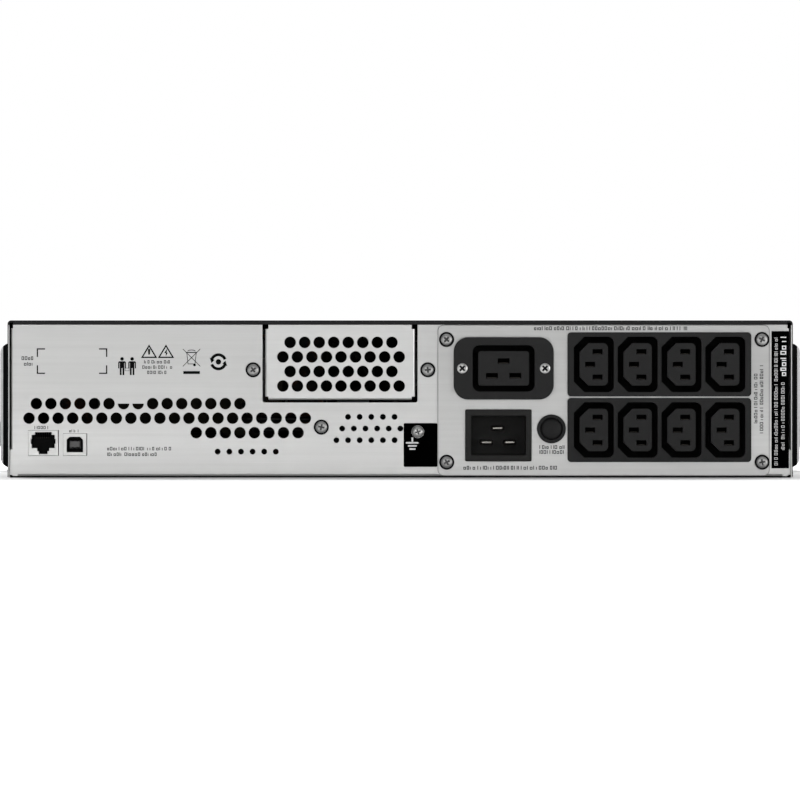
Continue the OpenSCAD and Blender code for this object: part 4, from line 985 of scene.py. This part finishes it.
def front_prints():
    """A bar and a ring on the two keys, and two level scales on the smoked window."""
    for node, key in (("on_button", "on_key"), ("off_button", "off_key")):
        low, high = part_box(node)
        mark = Print(0)
        if node == "on_button":
            mark.bar(-0.4, -1.5, 0.4, 1.5)
        else:
            mark.stroke(circle(1.5, 24), 0.6, closed=True)
        piece(node + "_mark", copies(mark.bm, [on_front(low, high)]), "white_ink", key)
    low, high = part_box("display_window")
    wide, tall = (high.x - low.x) / MM, (high.z - low.z) / MM
    scales = Print(0)
    for u in (-wide * 0.25, wide * 0.25):
        for step in range(-2, 3):
            v = tall * step * 0.15
            scales.bar(u - wide * 0.11, v - 0.8, u + wide * 0.11, v + 0.8)
    piece("window_scales", copies(scales.bm, [on_front(low, high)]), "grey_ink", "bezel")


# ---------- staging ----------

CAMERA_DISTANCE = 6.37     # metres, from the rear panel
CAMERA_LENS = 521


def set_camera():
    """A long lens straight behind the object, at the height of its middle."""
    camera = bpy.data.cameras.new("camera")
    camera.lens, camera.sensor_width, camera.clip_end = CAMERA_LENS, 36, 100
    eye = bpy.data.objects.new("camera", camera)
    eye.location = (0.0001, PANEL_Y + CAMERA_DISTANCE, 0.0427)
    eye.rotation_euler = (math.pi / 2, 0, math.pi)
    SCENE.collection.objects.link(eye)
    SCENE.camera = eye


def set_world():
    """White where the camera sees it, and a dim fill elsewhere."""
    world = bpy.data.worlds.new("studio")
    world.use_nodes = True
    tree = world.node_tree
    tree.nodes.clear()
    seen, lit = (tree.nodes.new("ShaderNodeBackground") for _ in range(2))
    seen.inputs["Color"].default_value, seen.inputs["Strength"].default_value = (1, 1, 1, 1), 1.0
    lit.inputs["Color"].default_value, lit.inputs["Strength"].default_value = (0.98, 0.99, 1, 1), 0.25
    mix, path, out = (tree.nodes.new(kind) for kind in ("ShaderNodeMixShader", "ShaderNodeLightPath",
                                                        "ShaderNodeOutputWorld"))
    tree.links.new(path.outputs["Is Camera Ray"], mix.inputs[0])
    tree.links.new(lit.outputs[0], mix.inputs[1])
    tree.links.new(seen.outputs[0], mix.inputs[2])
    tree.links.new(mix.outputs[0], out.inputs[0])
    SCENE.world = world


def set_floor():
    """White paper under the object."""
    floor_mesh = bmesh.new()
    bmesh.ops.create_grid(floor_mesh, x_segments=1, y_segments=1, size=16)
    floor = bpy.data.objects.new("floor", as_mesh(floor_mesh, "floor"))
    paper = Finish("paper", (0.93, 0.93, 0.93), 0.9, specular=0.0)
    paper.tint(paper.noise(900, detail=1), 0.995, 1.0)
    floor.data.materials.append(paper.material)
    SCENE.collection.objects.link(floor)


def softbox(name, place, aim, width, height, power, spread=180, mirrored=True):
    """Rectangular lamp, with places and sizes in metres. One that isn't mirrored gives no reflections."""
    lamp = bpy.data.lights.new(name, "AREA")
    lamp.shape, lamp.size, lamp.size_y, lamp.energy = "RECTANGLE", width, height, power
    lamp.spread = math.radians(spread)
    obj = bpy.data.objects.new(name, lamp)
    obj.location = place
    obj.rotation_euler = (Vector(aim) - Vector(place)).to_track_quat("-Z", "Y").to_euler()
    obj.visible_camera = False
    obj.visible_glossy = mirrored
    SCENE.collection.objects.link(obj)


def set_lights():
    softbox("key", (0.7, 4.6, 1.15), (0.05, 0.33, 0.04), 2.6, 1.3, 12.5)
    softbox("near", (0.2, 1.7, 0.2), (0.1, 0.33, 0.04), 0.5, 0.3, 0.3)
    softbox("low strip", (0, 0.48, 0.006), (0, 0.33, 0.02), 0.5, 0.006, 0.011, spread=70)
    softbox("side", (-2.2, 2.2, 0.3), (-0.05, 0.33, 0.04), 1.7, 0.6, 17)
    softbox("overhead", (0, 0.2, 3.2), (0, 0, 0.04), 3.4, 2.4, 18)
    softbox("back", (0.2, -3.4, 1.75), (0, 0.3, 0), 3.2, 1.4, 400, mirrored=False)
    softbox("floor light", (0, 5.4, 3.6), (0, 5.4, 0), 4.5, 3.6, 115, spread=70)
    softbox("near floor", (0, 2.1, 1.6), (0, 2.1, 0), 4.5, 1.0, 22, spread=60)


SCENE.view_settings.view_transform = "Standard"
set_camera()
set_world()
set_floor()
set_lights()
make_finishes()
finish_nodes()
panel_fasteners()
earth_fastener()
flange_fasteners()
side_fasteners("cover_screws", 6.6, 1.7)
side_fasteners("ear_screws", 7.0, 1.8)
inlet_blades()
breaker_key()
panel_print()
plate_print()
label_prints()
front_prints()
